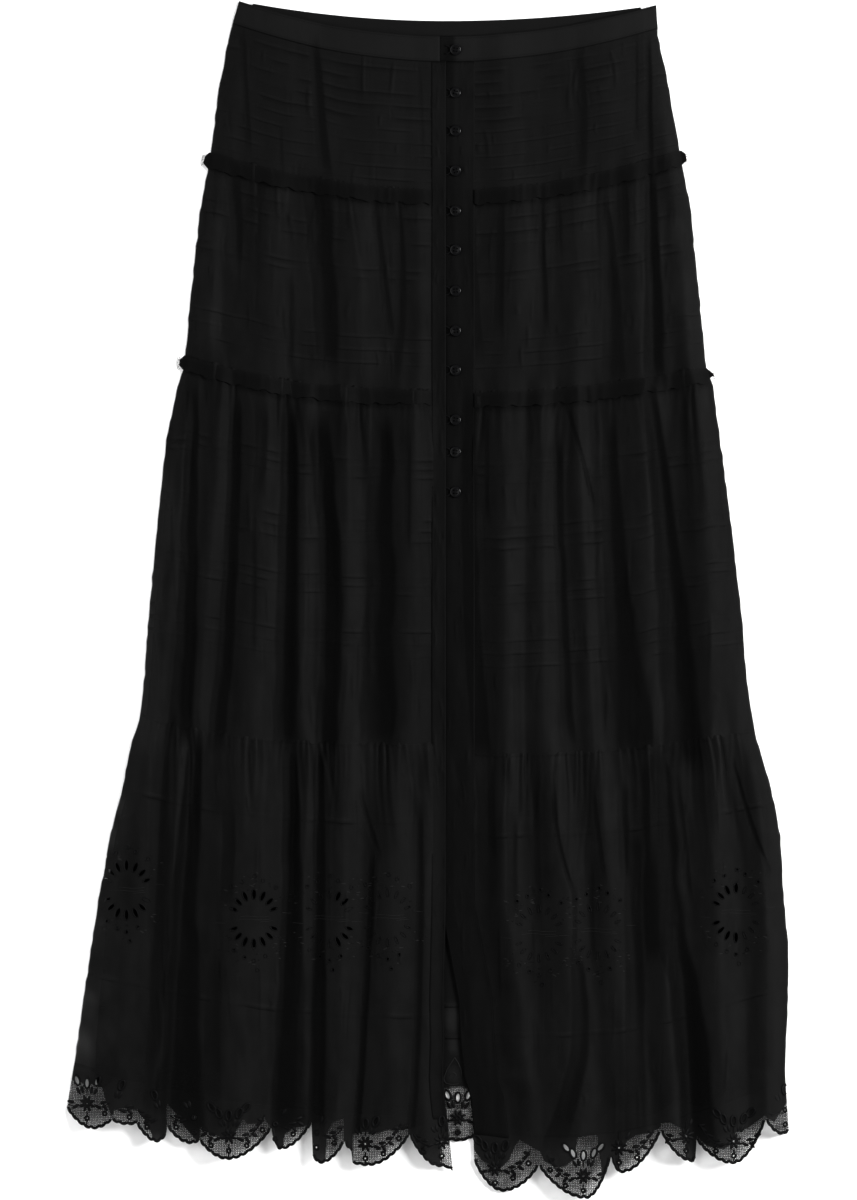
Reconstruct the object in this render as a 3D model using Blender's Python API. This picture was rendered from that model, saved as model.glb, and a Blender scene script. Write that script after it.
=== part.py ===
"""A tiered, button-front maxi skirt of thin cotton, laid flat on its back.

The tables are in millimetres and the meshes in metres, +Z up. The waist is towards +Y and the
hem towards -Y. A drop is how far a point lies below the top of the waistband, and x is how far
it lies to the right of the middle of the laid-out skirt. The back lies flat on the surface. The
front waves above it: underside() gives the height of its lower face, and each wall is its own
thickness taller. The fronts meet at a button strip and part below the last button.
"""

import math
from collections import namedtuple

import bmesh
import bpy

MM = 0.001

# Driving sizes of the garment, in millimetres.
LENGTH = 1034.5
TOP_Y = LENGTH / 2
CLOTH = 1.6
BACK_CLOTH = 1.2
BAND_CLOTH = 2.0
SEAM_GAP = 0.4
STACK_GAP = 0.35
CLEAR = BACK_CLOTH + STACK_GAP
SIDE_ROLL = 20.0
MIDDLE_X = 15.7

# The button strips: the left one laps over the right one, which carries the buttons.
LEFT_STRIP = 13.0
RIGHT_STRIP = 30.3
LEFT_REST = CLEAR + CLOTH + 0.45
STRIP_RISE = 26.0
STRIP_STEPS = 13
STRIP_NEAR = 30.0
BAND_COLUMNS = 12
BACK_COLUMNS = 10
BAND_END = 10.4
BAND_TAB = 11.6
BAND_TAB_WIDE = 17.0
BAND_CORNER = 5.0

BUTTON_X = 23.9
BUTTON_RADIUS = 5.0
BUTTON_THICK = 2.2
BUTTON_SIDES = 10
BUTTON_DROPS = (42.4, 79.6, 112.5, 147.0, 181.7, 215.4, 250.9, 285.5, 319.5, 362.4, 390.2, 424.7)

TUCK_HIGH = 0.8
TUCK_EDGE = 0.6
BLEND = 28.0

# The outline of the laid-out front, down each side.
Side = namedtuple("Side", "drop left right")
SIDES = (
    Side(0.0, -163.4, 197.3),
    Side(30.3, -172.0, 198.9),
    Side(77.0, -181.0, 208.6),
    Side(128.9, -187.6, 217.6),
    Side(182.5, -197.1, 227.6),
    Side(258.6, -205.5, 235.1),
    Side(317.5, -211.0, 240.6),
    Side(333.0, -216.5, 246.6),
    Side(380.6, -226.5, 252.9),
    Side(466.2, -235.5, 263.9),
    Side(534.6, -241.8, 271.7),
    Side(583.9, -244.9, 275.2),
    Side(622.8, -249.5, 281.2),
    Side(641.0, -256.1, 284.7),
    Side(682.5, -264.4, 297.4),
    Side(719.7, -274.1, 304.7),
    Side(778.5, -284.8, 308.0),
    Side(814.0, -290.6, 311.5),
    Side(857.2, -296.9, 311.5),
    Side(924.7, -306.7, 308.9),
    Side(957.6, -312.2, 309.8),
    Side(976.6, -312.2, 312.2),
)

# How far the back lies inside that outline.
Inset = namedtuple("Inset", "drop left right")
BACK_INSETS = (
    Inset(0.0, 13.0, 14.0),
    Inset(40.0, 9.0, 10.0),
    Inset(90.0, 7.0, 7.5),
    Inset(180.0, 5.5, 5.5),
    Inset(760.0, 5.0, 5.0),
    Inset(820.0, 12.0, 8.0),
    Inset(900.0, 16.0, 12.0),
    Inset(960.0, 24.0, 14.0),
)

# The free edges of the two button strips. The right one slides out where the skirt opens.
Strip = namedtuple("Strip", "drop left_free right_free")
STRIPS = (
    Strip(0.0, 15.7, 10.4),
    Strip(780.0, 15.7, 10.4),
    Strip(864.0, 13.9, 26.0),
    Strip(899.0, 14.5, 27.8),
    Strip(931.0, 13.5, 31.2),
    Strip(948.0, 14.6, 36.8),
    Strip(985.0, 19.0, 39.9),
    Strip(1035.0, 21.7, 39.9),
)

# Seams across the front: the drop at the side and at the strip, how late the curve bends, and
# a sag between them on the right.
Seam = namedtuple("Seam", "left_edge left_inner left_bend right_inner right_edge right_bend sag")
TOP = Seam(0.0, 30.3, 2.0, 30.3, 3.5, 2.0, 0.0)
BACK_TOP = Seam(0.0, 17.3, 2.0, 17.3, 3.5, 2.0, 0.0)
WAIST = Seam(19.0, 52.4, 2.0, 52.4, 23.4, 2.0, 0.0)
BACK_WAIST = Seam(19.0, 39.0, 2.0, 39.0, 23.4, 2.0, 0.0)
HIP = Seam(132.3, 164.4, 2.0, 164.4, 129.8, 2.0, 0.0)
THIGH = Seam(307.1, 337.4, 2.6, 340.0, 317.5, 2.0, 0.0)
KNEE = Seam(618.5, 643.5, 3.5, 652.0, 631.5, 1.6, 4.0)
BACK_KNEE = Seam(618.5, 645.0, 3.0, 645.0, 631.5, 2.0, 0.0)
NET = Seam(921.0, 964.0, 2.0, 974.0, 932.0, 1.8, 16.0)
BACK_NET = Seam(905.0, 938.0, 2.0, 938.0, 905.0, 2.0, 0.0)
FRONT_SEAMS = (WAIST, HIP, THIGH, KNEE, NET)

# Height that the front stands clear of the back between its folds.
Puff = namedtuple("Puff", "drop high")
PUFFS = (Puff(0, 1.0), Puff(60, 2.5), Puff(160, 3.0), Puff(330, 4.0), Puff(600, 5.5), Puff(720, 7.5),
         Puff(900, 8.0), Puff(1035, 5.0))

# The soft vertical folds of each tier: where the crest lies at the tier's top and bottom, its
# half width there, and its height.
Fold = namedtuple("Fold", "top_x bottom_x top_half bottom_half high")
FOLDS = (
    (Fold(-178, -178, 16, 16, 2.2), Fold(-126, -128, 26, 26, 2.6), Fold(-48, -48, 39, 35, 2.4),
     Fold(62, 62, 26, 35, 2.2), Fold(153, 155, 24, 24, 2.6), Fold(205, 208, 12, 9, 1.5)),
    (Fold(-187, -193, 12, 12, 4.0), Fold(-135, -141, 19, 26, 4.5), Fold(-66, -63, 22, 21, 5.0),
     Fold(-7, -9, 14, 10, 2.5), Fold(73, 73, 22, 19, 4.5), Fold(127, 130, 16, 16, 4.5),
     Fold(176, 183, 11, 11, 3.5), Fold(218, 227, 16, 12, 4.0)),
    (Fold(-206, -240, 10, 9, 3.5), Fold(-178, -200, 10, 10, 5.0), Fold(-143, -154, 22, 19, 8.0),
     Fold(-106, -111, 10, 10, 5.0), Fold(-72, -72, 11, 16, 6.5), Fold(-15, -20, 21, 17, 6.5),
     Fold(61, 67, 21, 14, 6.5), Fold(97, 99, 10, 12, 5.0), Fold(127, 142, 9, 9, 4.5),
     Fold(184, 190, 22, 21, 8.0), Fold(231, 244, 17, 17, 6.0)),
    (Fold(-240, -284, 22, 26, 6.0), Fold(-214, -239, 10, 9, 6.0), Fold(-158, -170, 31, 33, 9.5),
     Fold(-103, -122, 8, 12, 5.0), Fold(-72, -84, 16, 18, 8.0), Fold(-28, -42, 14, 24, 7.0),
     Fold(3, 3, 9, 12, 3.5), Fold(62, 68, 19, 28, 8.5), Fold(107, 128, 14, 30, 7.0),
     Fold(145, 180, 14, 18, 6.0), Fold(190, 216, 14, 14, 7.0), Fold(244, 254, 14, 24, 9.0),
     Fold(289, 296, 17, 14, 5.5)),
)

# Tucks of each tier, as shares of its depth, in the groups that they are sewn in.
TUCKS = (
    ((0.06, 0.155, 0.25, 0.345, 0.44, 0.535, 0.63, 0.725, 0.82, 0.915),),
    ((0.13, 0.20, 0.26), (0.395, 0.435), (0.73, 0.795, 0.86)),
    ((0.19, 0.215, 0.24), (0.36, 0.39, 0.42), (0.52, 0.545, 0.57), (0.675, 0.71, 0.745)),
    ((0.20,), (0.725,)),
)

# Each tier: how many columns its wall has, how high its gathers stand and how soon they fade,
# and the shares of its depth where the plain inside of the wall has a row.
Tier = namedtuple("Tier", "name columns gather fade inside")
TIERS = (
    Tier("tier_1", 12, 0.0, 30.0, (0.0, 0.5, 1.0)),
    Tier("tier_2", 16, 1.5, 30.0, (0.0, 0.07, 0.16, 0.5, 0.84, 1.0)),
    Tier("tier_3", 18, 1.8, 40.0, (0.0, 0.035, 0.09, 0.25, 0.42, 0.58, 0.75, 0.91, 1.0)),
    Tier("tier_4", 34, 2.6, 45.0, (0.0, 0.03, 0.09, 0.2, 0.4, 0.6, 0.8, 1.0)),
)
TRIMMED = {"tier_2": "trim_1", "tier_3": "trim_2"}
TRIM_ROWS = 2
TRIM_WAVE = 1.6
TRIM_CLOTH = 1.0

# The front hem: each scallop, or what a fold leaves showing of it, from its left end past its
# lowest point to its right end. A fold's edge is a step between two rows.
Scallop = namedtuple("Scallop", "x0 drop0 low_x low_drop x1 drop1 steps")
LEFT_HEM = (
    Scallop(-312.2, 957.6, -288.8, 974.4, -272.8, 966.7, 5),
    Scallop(-272.6, 966.7, -259.2, 971.0, -251.8, 970.5, 2),
    Scallop(-251.4, 970.5, -233.5, 985.7, -226.2, 980.0, 4),
    Scallop(-225.0, 973.1, -204.9, 987.6, -197.8, 985.1, 4),
    Scallop(-197.0, 985.1, -172.9, 1000.5, -135.8, 974.9, 8),
    Scallop(-134.9, 975.5, -127.9, 992.2, -100.6, 969.4, 5),
    Scallop(-99.4, 998.2, -93.1, 1004.2, -72.4, 986.1, 5),
    Scallop(-71.8, 986.1, -67.4, 992.2, -66.2, 993.4, 2),
    Scallop(-65.2, 1004.3, -52.7, 1006.3, -16.4, 980.4, 6),
    Scallop(-15.6, 980.4, 11.3, 1007.7, 21.7, 1012.0, 4),
)
RIGHT_HEM = (
    Scallop(39.9, 1002.5, 65.0, 1029.3, 95.4, 1007.0, 8),
    Scallop(96.2, 1007.0, 136.8, 1034.5, 157.7, 999.9, 8),
    Scallop(158.5, 999.9, 166.2, 1012.5, 200.8, 977.1, 5),
    Scallop(201.4, 977.1, 229.3, 1003.2, 231.2, 999.1, 4),
    Scallop(232.2, 984.4, 263.7, 1004.3, 291.0, 967.2, 8),
    Scallop(291.8, 967.2, 307.2, 980.0, 312.2, 976.6, 4),
)
HEM_ROUND = 0.8
HEM_LEAN = 30.0
NET_ROWS = (0.0, 0.5, 1.0)

# The back hem: even scallops under a curve through these drops.
BackHem = namedtuple("BackHem", "x drop")
BACK_HEM = (BackHem(-300, 938), BackHem(-200, 950), BackHem(-100, 964), BackHem(26, 986),
            BackHem(140, 970), BackHem(235, 957), BackHem(305, 944))
SCALLOP_WIDE = 54.0
SCALLOP_DEEP = 12.0
BACK_SCALLOP_X = 26.0
BACK_STEPS = 4

# Cut eyelets. A medallion has its largest above and below its middle, a scallop has a fan.
Medallion = namedtuple("Medallion", "half x drop")
MEDALLIONS = (
    Medallion("left", -262.0, 770.7), Medallion("left", -150.4, 793.2),
    Medallion("left", -83.8, 793.2), Medallion("left", -36.2, 790.6),
    Medallion("right", 97.0, 807.0), Medallion("right", 149.7, 803.6),
    Medallion("right", 264.8, 788.0),
)
MEDALLION_WIDE = 34.0
MEDALLION_TALL = 43.0
PETAL_TURNS = (-25.0, 0.0, 25.0)
PETAL = (4.6, 9.6)
Fan = namedtuple("Fan", "half x drop")
FANS = (Fan("left", -172.0, 962.0), Fan("left", -52.0, 967.0), Fan("right", 65.0, 991.0),
        Fan("right", 136.0, 997.0), Fan("right", 263.0, 967.0), Fan("back", 26.0, 949.0))
FAN_RADIUS = 11.0
FAN_TURNS = (-50.0, 0.0, 50.0)
TEARDROP = (4.4, 8.6)
CUTTER_DEEP = 60.0


def lerp(a, b, share):
    return a + (b - a) * share


def smooth(share):
    share = min(1.0, max(0.0, share))
    return share * share * (3.0 - 2.0 * share)


def read(rows, column, drop, key="drop"):
    """The value of a table's column between the two rows that a drop, or an x, falls between."""
    places = [getattr(row, key) for row in rows]
    if drop <= places[0]:
        return getattr(rows[0], column)
    for low, high, start, end in zip(rows, rows[1:], places, places[1:]):
        if drop <= end:
            return lerp(getattr(low, column), getattr(high, column), (drop - start) / (end - start))
    return getattr(rows[-1], column)


def seam_drop(seam, half, x):
    """The drop of a seam at x, on one half of the garment."""
    if half == "left":
        edge_x, inner, edge, bend, sag = SIDES[-1].left, seam.left_inner, seam.left_edge, seam.left_bend, 0.0
    else:
        edge_x, inner, edge, bend, sag = (SIDES[-1].right, seam.right_inner, seam.right_edge,
                                          seam.right_bend, seam.sag)
    edge_x = read(SIDES, half, edge)
    share = min(1.0, max(0.0, (x - MIDDLE_X) / (edge_x - MIDDLE_X)))
    return lerp(inner, edge, share ** bend) + sag * math.sin(math.pi * share)


def half_of(x):
    return "left" if x < MIDDLE_X else "right"


def strip_seam(half, drop):
    """Where a front panel ends at its button strip."""
    if half == "left":
        return read(STRIPS, "left_free", drop) - LEFT_STRIP
    return read(STRIPS, "right_free", drop) + RIGHT_STRIP


def crown(half, drop, x):
    """How high the front stands above its lowest place: its puff and the folds of its tiers."""
    total = read(PUFFS, "high", drop)
    starts = [seam_drop(seam, half, x) for seam in FRONT_SEAMS]
    starts[-1] = LENGTH
    for folds, start, end in zip(FOLDS, starts, starts[1:]):
        share = min(1.0, max(0.0, (drop - start) / (end - start)))
        weight = 1.0
        if folds is not FOLDS[0]:
            weight = smooth((drop - start + BLEND) / (2 * BLEND))
        if folds is not FOLDS[-1]:
            weight *= 1.0 - smooth((drop - end + BLEND) / (2 * BLEND))
        if weight == 0.0:
            continue
        for fold in folds:
            off = abs(x - lerp(fold.top_x, fold.bottom_x, share)) / lerp(
                fold.top_half, fold.bottom_half, share)
            if off < 1.3:
                total += weight * fold.high * (0.5 + 0.5 * math.cos(math.pi * off / 1.3))
    return total


def underside(half, drop, x):
    """The height of the front's lower face. It meets the surface at the garment's sides."""
    inward = abs(x - read(SIDES, half, drop))
    edge = math.sin(0.5 * math.pi * min(1.0, inward / SIDE_ROLL))
    if half == "left":
        near, rest = read(STRIPS, "left_free", drop) - x, LEFT_REST
    else:
        near, rest = x - strip_seam(half, drop), CLEAR
    return edge * lerp(rest, CLEAR + crown(half, drop, x), smooth(near / STRIP_RISE))


def place(x, drop, high):
    return (x * MM, (TOP_Y - drop) * MM, high * MM)


def fabric(name, colour, roughness):
    material = bpy.data.materials.new(name)
    material.use_nodes = True
    shader = material.node_tree.nodes["Principled BSDF"]
    shader.inputs["Base Color"].default_value = (*colour, 1.0)
    shader.inputs["Roughness"].default_value = roughness
    shader.inputs["Metallic"].default_value = 0.0
    return material


VOILE = ((0.012, 0.012, 0.013), 0.85)
SHEER = ((0.03, 0.03, 0.032), 0.85)
BAND = ((0.016, 0.016, 0.017), 0.8)
SHELL = ((0.03, 0.03, 0.032), 0.2)


def finish(mesh, name, look):
    """Makes an object of a bmesh, with its faces out and a material of its own."""
    bmesh.ops.recalc_face_normals(mesh, faces=mesh.faces)
    if mesh.calc_volume(signed=True) < 0.0:
        bmesh.ops.reverse_faces(mesh, faces=mesh.faces)
    data = bpy.data.meshes.new(name)
    mesh.to_mesh(data)
    mesh.free()
    piece = bpy.data.objects.new(name, data)
    piece.data.materials.append(fabric(name + "_finish", *look))
    bpy.context.scene.collection.objects.link(piece)
    return piece


def stitch(mesh, first, second):
    """Fills the strip between two rows of (share, vertex) that start and end together."""
    i = j = 0
    while i < len(first) - 1 or j < len(second) - 1:
        along_first = j == len(second) - 1 or (
            i < len(first) - 1 and first[i + 1][0] <= second[j + 1][0])
        if along_first:
            mesh.faces.new((first[i][1], first[i + 1][1], second[j][1]))
            i += 1
        else:
            mesh.faces.new((first[i][1], second[j][1], second[j + 1][1]))
            j += 1


def wall(name, upper, lower, look, ends=None):
    """A closed wall between two sheets of rows of points, each row with its share.

    The lower sheet may have fewer rows than the upper one. Its two end columns then come from
    ends, (share, first point, last point) for each row of the upper sheet.
    """
    ends = ends or [(share, points[0], points[-1]) for share, points in lower]
    mesh = bmesh.new()
    over = [[mesh.verts.new(p) for p in points] for _, points in upper]
    inner = [(share, [mesh.verts.new(p) for p in points[1:-1]]) for share, points in lower]
    first = [(share, mesh.verts.new(p)) for share, p, _ in ends]
    last = [(share, mesh.verts.new(p)) for share, _, p in ends]
    for sheet in (over, [row for _, row in inner]):
        for near, far in zip(sheet, sheet[1:]):
            for c in range(len(near) - 1):
                mesh.faces.new((near[c], near[c + 1], far[c + 1], far[c]))
    stitch(mesh, first, [(share, row[0]) for share, row in inner])
    stitch(mesh, last, [(share, row[-1]) for share, row in inner])
    for column, rim in ((0, first), (-1, last)):
        stitch(mesh, [(share, row[column]) for (share, _), row in zip(upper, over)], rim)
    for end in (0, -1):
        top, bottom = over[end], [first[end][1], *inner[end][1], last[end][1]]
        for c in range(len(top) - 1):
            mesh.faces.new((top[c], top[c + 1], bottom[c + 1], bottom[c]))
    return finish(mesh, name, look)


def tuck_rows(groups):
    """(share, raised) of a tier's outer rows: each tuck is a low step down at its sewn edge."""
    rows = []
    for group in groups:
        pitch = group[1] - group[0] if len(group) > 1 else 0.03
        rows.append((max(0.005, group[0] - pitch), 0.0))
        for share in group:
            rows += [(share, TUCK_HIGH), (share, 0.0)]
    return rows


def front_rows(tier, groups, depth):
    """(share, raised) of every row of a tier's outer face, from its top seam to the next."""
    rows = tuck_rows(groups)
    first, last = rows[0][0], rows[-1][0] + 0.03
    rows += [(share, 0.0) for share in tier.inside if not first <= share <= last or len(groups) == 2]
    rows += [(0.0, 0.0), (1.0, 0.0)]
    rows = sorted(set(rows), key=lambda row: (row[0], -row[1]))
    spaced = []
    for share, raised in rows:
        if spaced and spaced[-1][1] == 0.0 and raised == 0.0 and share - spaced[-1][0] < 2e-3:
            continue
        if spaced and spaced[-1][1] > 0.0:
            share += TUCK_EDGE / depth
        spaced.append((share, raised))
    return spaced


def front_grid(half, tier, top, bottom, rows):
    """The (x, drop) of a front panel's points: columns run from its side to its button strip."""
    grid = []
    for share, raised in rows:
        row = []
        for c in range(tier.columns + 1):
            across = c / tier.columns
            drop = 0.0
            x = lerp(read(SIDES, half, top.left_inner), strip_seam(half, top.left_inner), across)
            for _ in range(4):
                high = seam_drop(top, half, x) + SEAM_GAP / 2
                low = seam_drop(bottom, half, x) - SEAM_GAP / 2
                drop = lerp(high, low, share)
                inner = strip_seam(half, drop) + (-SEAM_GAP if half == "left" else SEAM_GAP)
                x = lerp(read(SIDES, half, drop), inner, across)
            row.append((x, drop, raised, drop - high, c))
        grid.append((share, row))
    return grid


def gather(tier, below, column):
    """Every second column stands proud where the tier is gathered into its seam."""
    return tier.gather * (column % 2) * math.exp(-below / tier.fade)


def front_panel(half, tier, top, bottom, groups):
    """One tier of one front: tucks on its outer face over a plain inside."""
    depth = bottom.left_inner - top.left_inner
    outer = front_grid(half, tier, top, bottom, front_rows(tier, groups, depth))
    inner = front_grid(half, tier, top, bottom, [(share, 0.0) for share in tier.inside])

    def on(cell, above=0.0):
        x, drop, raised, below, column = cell
        return place(x, drop, underside(half, drop, x) + gather(tier, below, column)
                     + (above + raised if above else 0.0))

    upper = [(share, [on(cell, CLOTH) for cell in row]) for share, row in outer]
    lower = [(share, [on(cell) for cell in row]) for share, row in inner]
    ends = [(share, on(row[0]), on(row[-1])) for share, row in outer]
    return wall(f"{tier.name}_front_{half}", upper, lower, VOILE, ends)


def trim(half, tier, top, bottom):
    """The ruffle that hides a seam: made from the panel's own top rows, moved out, and waved."""
    rows = [(share, 0.0) for share in tier.inside[:TRIM_ROWS]]
    sheets = []
    for thick in (TRIM_CLOTH, 0.0):
        sheet = []
        for r, (share, row) in enumerate(front_grid(half, tier, top, bottom, rows)):
            on = [place(x, drop, underside(half, drop, x) + gather(tier, below, c) + CLOTH)
                  for x, drop, _, below, c in row]
            wave = TRIM_WAVE * (0.25, 1.0)[r]
            points = []
            for left, right in zip(on, on[1:]):
                middle = [lerp(a, b, 0.5) for a, b in zip(left, right)]
                points += [(*left[:2], left[2] + (STACK_GAP + thick) * MM),
                           (*middle[:2], middle[2] + (STACK_GAP + thick + wave) * MM)]
            points.append((*on[-1][:2], on[-1][2] + (STACK_GAP + thick) * MM))
            sheet.append((share, points))
        sheets.append(sheet)
    return wall(f"{TRIMMED[tier.name]}_front_{half}", sheets[0], sheets[1], VOILE)


def scallop_points(scallops):
    """(x, drop) along a hem, a fixed number of steps to each scallop."""
    points = []
    for s in scallops:
        for step in range(s.steps + 1):
            x = lerp(s.x0, s.x1, step / s.steps)
            if x <= s.low_x:
                rise = math.sin(0.5 * math.pi * (x - s.x0) / (s.low_x - s.x0)) ** HEM_ROUND
                drop = lerp(s.drop0, s.low_drop, rise)
            else:
                rise = math.sin(0.5 * math.pi * (s.x1 - x) / (s.x1 - s.low_x)) ** HEM_ROUND
                drop = lerp(s.drop1, s.low_drop, rise)
            points.append((x, drop))
    return points


def net_border(half, scallops):
    """The sheer scalloped border of one front, from the cloth's edge down to the hem."""
    hem = scallop_points(scallops)
    side, inner = (hem[0][0], hem[-1][0]) if half == "left" else (hem[-1][0], hem[0][0])
    side_shift = read(SIDES, half, NET.left_edge if half == "left" else NET.right_edge) - side
    inner_shift = read(STRIPS, half + "_free", NET.left_inner) - inner
    sheets = []
    for thick in (CLOTH, 0.0):
        sheet = []
        for share in NET_ROWS:
            row = []
            for hem_x, hem_drop in hem:
                top_x = hem_x + side_shift * max(0.0, 1.0 - abs(hem_x - side) / HEM_LEAN)
                top_x += inner_shift * max(0.0, 1.0 - abs(hem_x - inner) / HEM_LEAN)
                x = lerp(top_x, hem_x, share)
                drop = lerp(seam_drop(NET, half, top_x) + SEAM_GAP / 2, hem_drop, share)
                row.append(place(x, drop, underside(half, drop, x) + thick))
            sheet.append((share, row))
        sheets.append(sheet)
    return wall(f"border_front_{half}", sheets[0], sheets[1], SHEER)


def strip_drops(half):
    """The drops of a strip's rows: even where it is straight, then those of the panel beside it."""
    straight = STRIPS[1].drop
    start = WAIST.left_inner + SEAM_GAP
    drops = [lerp(start, straight, n / STRIP_STEPS) for n in range(STRIP_STEPS)]
    depth = NET.left_inner - KNEE.left_inner
    beside = front_grid(half, TIERS[-1], KNEE, NET, front_rows(TIERS[-1], TUCKS[-1], depth))
    return drops + [row[-1][1] for _, row in beside if row[-1][1] > straight - STRIP_NEAR][:-1]


def button_strip(half):
    """A button strip, from the waistband down to the border."""
    sheets = []
    for thick in (CLOTH, 0.0):
        sheet = []
        for drop in (*strip_drops(half), None):
            row = []
            for across in (0.0, 0.5, 1.0):
                at = NET.left_inner if drop is None else drop
                x = lerp(read(STRIPS, half + "_free", at), strip_seam(half, at), across)
                down = seam_drop(NET, half, x) - SEAM_GAP / 2 if drop is None else drop
                if drop is None:
                    x = lerp(read(STRIPS, half + "_free", down), strip_seam(half, down), across)
                row.append(place(x, down, underside(half, down, x) + thick))
            sheet.append((LENGTH if drop is None else drop, row))
        sheets.append(sheet)
    return wall(f"button_strip_{half}", sheets[0], sheets[1], VOILE)


def waistband_front(half):
    """The front waistband of one side, with a rounded corner at its free end."""
    end = BAND_END if half == "left" else BAND_TAB
    sheets = []
    for thick in (BAND_CLOTH, 0.0):
        sheet = []
        for share in (0.0, 0.5, 1.0):
            row = []
            for c in range(BAND_COLUMNS + 1):
                side = read(SIDES, half, (TOP.left_edge, 10.0, WAIST.left_edge)[int(share * 2)])
                x = lerp(side, end, c / BAND_COLUMNS)
                corner = max(0.0, 1.0 - abs(end - x) / BAND_CORNER) ** 2 if half == "left" else 0.0
                high = seam_drop(TOP, half, x) + BAND_CORNER * corner
                low = seam_drop(WAIST, half, x) - SEAM_GAP / 2 - 0.5 * BAND_CORNER * corner
                drop = lerp(high, low, share)
                inward = abs(x - side)
                edge = math.sin(0.5 * math.pi * min(1.0, inward / SIDE_ROLL))
                near = end - x if half == "left" else x - end - BAND_TAB_WIDE
                rest = LEFT_REST if half == "left" else CLEAR
                high_z = edge * lerp(rest, CLEAR + crown(half, drop, x), smooth(near / STRIP_RISE))
                row.append(place(x, drop, high_z + thick))
            sheet.append((share, row))
        sheets.append(sheet)
    return wall(f"waistband_front_{half}", sheets[0], sheets[1], BAND)


def back_side(half, drop):
    inset = read(BACK_INSETS, half, drop)
    return read(SIDES, half, drop) + (inset if half == "left" else -inset)


def back_panel(name, top, bottom, columns, look, top_gap=SEAM_GAP, thick=BACK_CLOTH):
    """A flat panel of the back between two seams, or lines of (drop at x)."""
    sheets = []
    for high in (thick, 0.0):
        sheet = []
        for share in (0.0, 0.5, 1.0):
            row = []
            for c in range(columns + 1):
                x = lerp(back_side("left", top(0.0)), back_side("right", top(0.0)), c / columns)
                drop = 0.0
                for _ in range(4):
                    drop = lerp(top(x) + top_gap, bottom(x), share)
                    x = lerp(back_side("left", drop), back_side("right", drop), c / columns)
                row.append(place(x, drop, high))
            sheet.append((share, row))
        sheets.append(sheet)
    return wall(name, sheets[0], sheets[1], look)


def line_of(seam, lower=0.0):
    return lambda x: seam_drop(seam, half_of(x), x) + lower


def back_hem_drop(x):
    """The back hem: even scallops under a smooth curve."""
    share = ((x - BACK_SCALLOP_X) / SCALLOP_WIDE + 0.5) % 1.0
    return read(BACK_HEM, "drop", x, key="x") - SCALLOP_DEEP * (1.0 - math.sin(math.pi * share) ** HEM_ROUND)


def back_border():
    """The sheer border of the back, whose hem shows where the fronts part."""
    left, right = back_side("left", BACK_HEM[0].drop), back_side("right", BACK_HEM[-1].drop)
    pitch = SCALLOP_WIDE / BACK_STEPS
    first = math.ceil((left - BACK_SCALLOP_X - SCALLOP_WIDE / 2) / pitch)
    last = math.floor((right - BACK_SCALLOP_X - SCALLOP_WIDE / 2) / pitch)
    inner = [BACK_SCALLOP_X + SCALLOP_WIDE / 2 + n * pitch for n in range(first, last + 1)]
    inner = [x for x in inner if left + 2 < x < right - 2]
    sheets = []
    for high in (BACK_CLOTH, 0.0):
        sheet = []
        for share in (0.0, 0.5, 1.0):
            row = []
            for hem_x in [left, *inner, right]:
                across = (hem_x - left) / (right - left)
                top_x = lerp(back_side("left", BACK_NET.left_edge), back_side("right", BACK_NET.right_edge),
                             across)
                x = lerp(top_x, hem_x, share)
                top_drop = seam_drop(BACK_NET, half_of(top_x), top_x) + SEAM_GAP
                row.append(place(x, lerp(top_drop, back_hem_drop(hem_x), share), high))
            sheet.append((share, row))
        sheets.append(sheet)
    return wall("border_back", sheets[0], sheets[1], SHEER)


def button(number, drop):
    """A round button with a dished face, sewn to the right strip."""
    seat = CLEAR + (BAND_CLOTH if drop < WAIST.left_inner else CLOTH) + STACK_GAP
    profile = ((BUTTON_RADIUS - 0.5, 0.0), (BUTTON_RADIUS, 0.6), (BUTTON_RADIUS - 0.4, BUTTON_THICK),
               (BUTTON_RADIUS - 1.6, BUTTON_THICK - 0.7))
    mesh = bmesh.new()
    rings = []
    for radius, high in profile:
        ring = []
        for n in range(BUTTON_SIDES):
            turn = 2 * math.pi * n / BUTTON_SIDES
            ring.append(mesh.verts.new(place(BUTTON_X + radius * math.cos(turn),
                                             drop + radius * math.sin(turn), seat + high)))
        rings.append(ring)
    for near, far in zip(rings, rings[1:]):
        for n in range(BUTTON_SIDES):
            after = (n + 1) % BUTTON_SIDES
            mesh.faces.new((near[n], near[after], far[after], far[n]))
    mesh.faces.new(rings[0])
    mesh.faces.new(rings[-1])
    piece = finish(mesh, f"button_{number:02d}", SHELL)
    piece.data.shade_smooth()
    piece.data.set_sharp_from_angle(angle=math.radians(50))
    return piece


def oval(x, drop, size, turn):
    """Six points of a slim oval whose long axis is turned from straight down, in degrees."""
    wide, tall = size[0] / 2, size[1] / 2
    sin, cos = math.sin(math.radians(turn)), math.cos(math.radians(turn))
    points = []
    for across, along in ((0, -1), (0.9, -0.45), (0.9, 0.45), (0, 1), (-0.9, 0.45), (-0.9, -0.45)):
        a, b = across * wide / 0.9, along * tall
        points.append((x + a * cos + b * sin, drop - a * sin + b * cos))
    return points


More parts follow.
